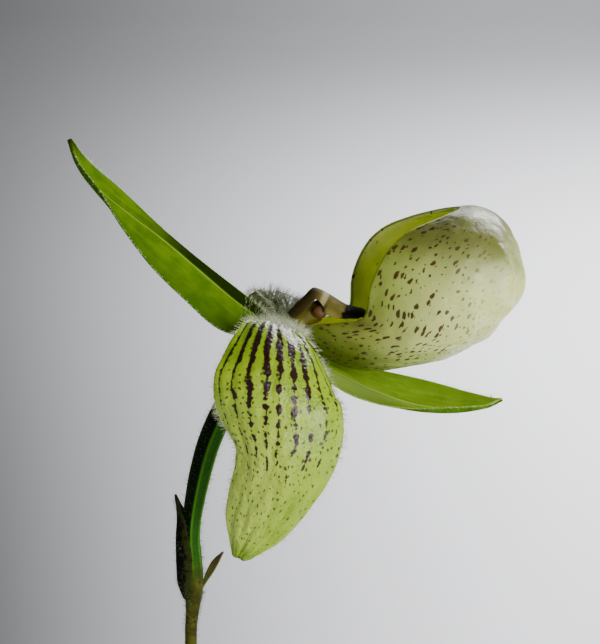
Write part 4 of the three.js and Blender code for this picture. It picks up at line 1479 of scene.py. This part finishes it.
def make_bark(chips, seed):
    stream = random.Random(seed)
    whole = bmesh.new()
    plug_top = BARK_LEVEL - 1
    inside = pot_wall_at(81) - WALL - 0.7
    plug = [(0, 7.5), (36, 7.6), (39, 12), (inside, 81), (50, plug_top), (0, plug_top)]
    spin_profile(whole, plug, 48)
    whole.faces.layers.float.new("chip_tone")
    for i in range(chips):
        one = bmesh.new()
        layer = one.faces.layers.float.new("chip_tone")
        radius = 17.5 + 27 * math.sqrt((i + 0.5) / chips) * stream.uniform(0.96, 1.03)
        angle = i * GOLDEN_ANGLE
        height = BARK_LEVEL + stream.uniform(-1.2, 3.6)
        spot = Vector((radius * math.cos(angle), radius * math.sin(angle), height)) * MM
        turn = Matrix.Rotation(stream.uniform(0, 2 * math.pi), 4, "Z")
        turn = turn @ Matrix.Rotation(stream.gauss(0, 0.28), 4, "X")
        turn = turn @ Matrix.Rotation(stream.gauss(0, 0.28), 4, "Y")
        add_chip(one, stream, Matrix.Translation(spot) @ turn, stream.uniform(7.5, 13) * MM)
        bmesh.ops.recalc_face_normals(one, faces=one.faces)
        tone = stream.random()
        for face in one.faces:
            face[layer] = tone
        for vert in one.verts:
            vert.co += 0.35 * MM * noise.noise_vector(vert.co * 300)
        chip_mesh = bpy.data.meshes.new("chip")
        one.to_mesh(chip_mesh)
        one.free()
        whole.from_mesh(chip_mesh)
        bpy.data.meshes.remove(chip_mesh)
    return whole


bark_bm = make_bark(190, 8)
bark = finish_mesh("bark_chips", bark_bm, [BARK])
bark.data.attributes["chip_tone"].name = "tone"
bark.data.set_sharp_from_angle(angle=math.radians(50))
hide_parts("potting_bark")
print("bark faces:", len(bark.data.polygons))

# %% [markdown]
# ## The crown
#
# The crown's solid already has the right shape, and the sheaths hide most of it, so it keeps its
# mesh and only takes the fibrous material.

# %% Dress the crown
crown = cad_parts["crown"]
crown.data.materials.clear()
crown.data.materials.append(CROWN)
print("crown material:", crown.data.materials[0].name)

# %% [markdown]
# ## Studio
#
# The photograph was taken indoors against a pale wall, with soft window light from the right and
# front. A wide bowl makes floor and wall in one sweep, and behind the bloom a painted fall of light
# darkens its tone to the left. One large area light stands for the window, a weak one fills the left
# side, and two more brighten the floor behind the bloom.


# %% Build the sweep
def make_sweep():
    bm = bmesh.new()
    profile = [(0, 0), (3400, 0), (3800, 60), (4150, 240), (4400, 560), (4500, 1000), (4500, 3600)]
    spin_profile(bm, profile, 96)
    bmesh.ops.reverse_faces(bm, faces=bm.faces)
    mesh = bpy.data.meshes.new("sweep")
    bm.to_mesh(mesh)
    bm.free()
    for polygon in mesh.polygons:
        polygon.use_smooth = True
    sweep = bpy.data.objects.new("sweep", mesh)
    bpy.context.collection.objects.link(sweep)
    return sweep


CAMERA_BACK = 404.0
OPEN_TONE = 0.6


def sweep_material():
    material, tree, shader = new_material("pale_wall", Roughness=0.95, Specular_IOR_Level=0.1)
    place = place_in_mm(tree)
    parts = add(tree, "ShaderNodeSeparateXYZ", {0: place}).outputs
    # Painted light on the wall: its tone stands for a fall of window light, bright on the right, dark on the
    # left and dimmer far back, and it stays even in front of the camera.
    away = maths(tree, "MAXIMUM", maths(tree, "ADD", parts[1], CAMERA_BACK), 900.0)
    across = ease(tree, maths(tree, "DIVIDE", parts[0], away), -0.21, 0.19)
    left = ease(tree, parts[1], 600.0, 1700.0, 0.055, 0.1)
    right = ease(tree, parts[1], 1200.0, 3100.0, 0.97, 0.32)
    tone = maths(tree, "ADD", left, maths(tree, "MULTIPLY", across, maths(tree, "SUBTRACT", right, left)))
    behind = ease(tree, parts[1], 200.0, 700.0)
    change = maths(tree, "MULTIPLY", behind, maths(tree, "SUBTRACT", tone, OPEN_TONE))
    tone = maths(tree, "ADD", OPEN_TONE, change)
    colour = blend_colours(tree, tone, (0.0, 0.0, 0.0, 1.0), (0.95, 0.96, 1.0, 1.0))
    tree.links.new(colour, shader.inputs["Base Color"])
    return material


sweep = make_sweep()
sweep.data.materials.append(sweep_material())
print("sweep faces:", len(sweep.data.polygons))


# %% Set the lights
def area_light(name, place, target, width, height, watts, colour):
    data = bpy.data.lights.new(name, "AREA")
    data.shape = "RECTANGLE"
    data.size, data.size_y = width, height
    data.energy = watts
    data.color = colour
    light = bpy.data.objects.new(name, data)
    light.location = place
    light.rotation_euler = (Vector(target) - Vector(place)).to_track_quat("-Z", "Y").to_euler()
    bpy.context.collection.objects.link(light)
    return light


bloom_place = BLOOM * MM
window = area_light("window", (0.8, -0.95, 0.5), bloom_place, 1.0, 1.4, 38, (1.0, 0.99, 0.96))
fill = area_light("fill", (-1.4, -0.9, 0.7), bloom_place, 1.2, 1.2, 1.5, (0.93, 0.96, 1.0))
floor_wash = area_light("floor_wash", (0.9, 1.5, 1.3), (0.35, 1.3, 0.0), 1.0, 1.0, 64, (1.0, 1.0, 1.0))
far_wash = area_light("far_wash", (0.2, 3.2, 1.5), (0.1, 3.0, 0.0), 1.4, 1.2, 42, (1.0, 1.0, 1.0))
world = bpy.data.worlds.new("room")
bpy.context.scene.world = world
world.use_nodes = True
world.node_tree.nodes["Background"].inputs[0].default_value = screen(214, 218, 226)
world.node_tree.nodes["Background"].inputs[1].default_value = 0.16
print("lights:", [light.data.energy for light in (window, fill, floor_wash, far_wash)])
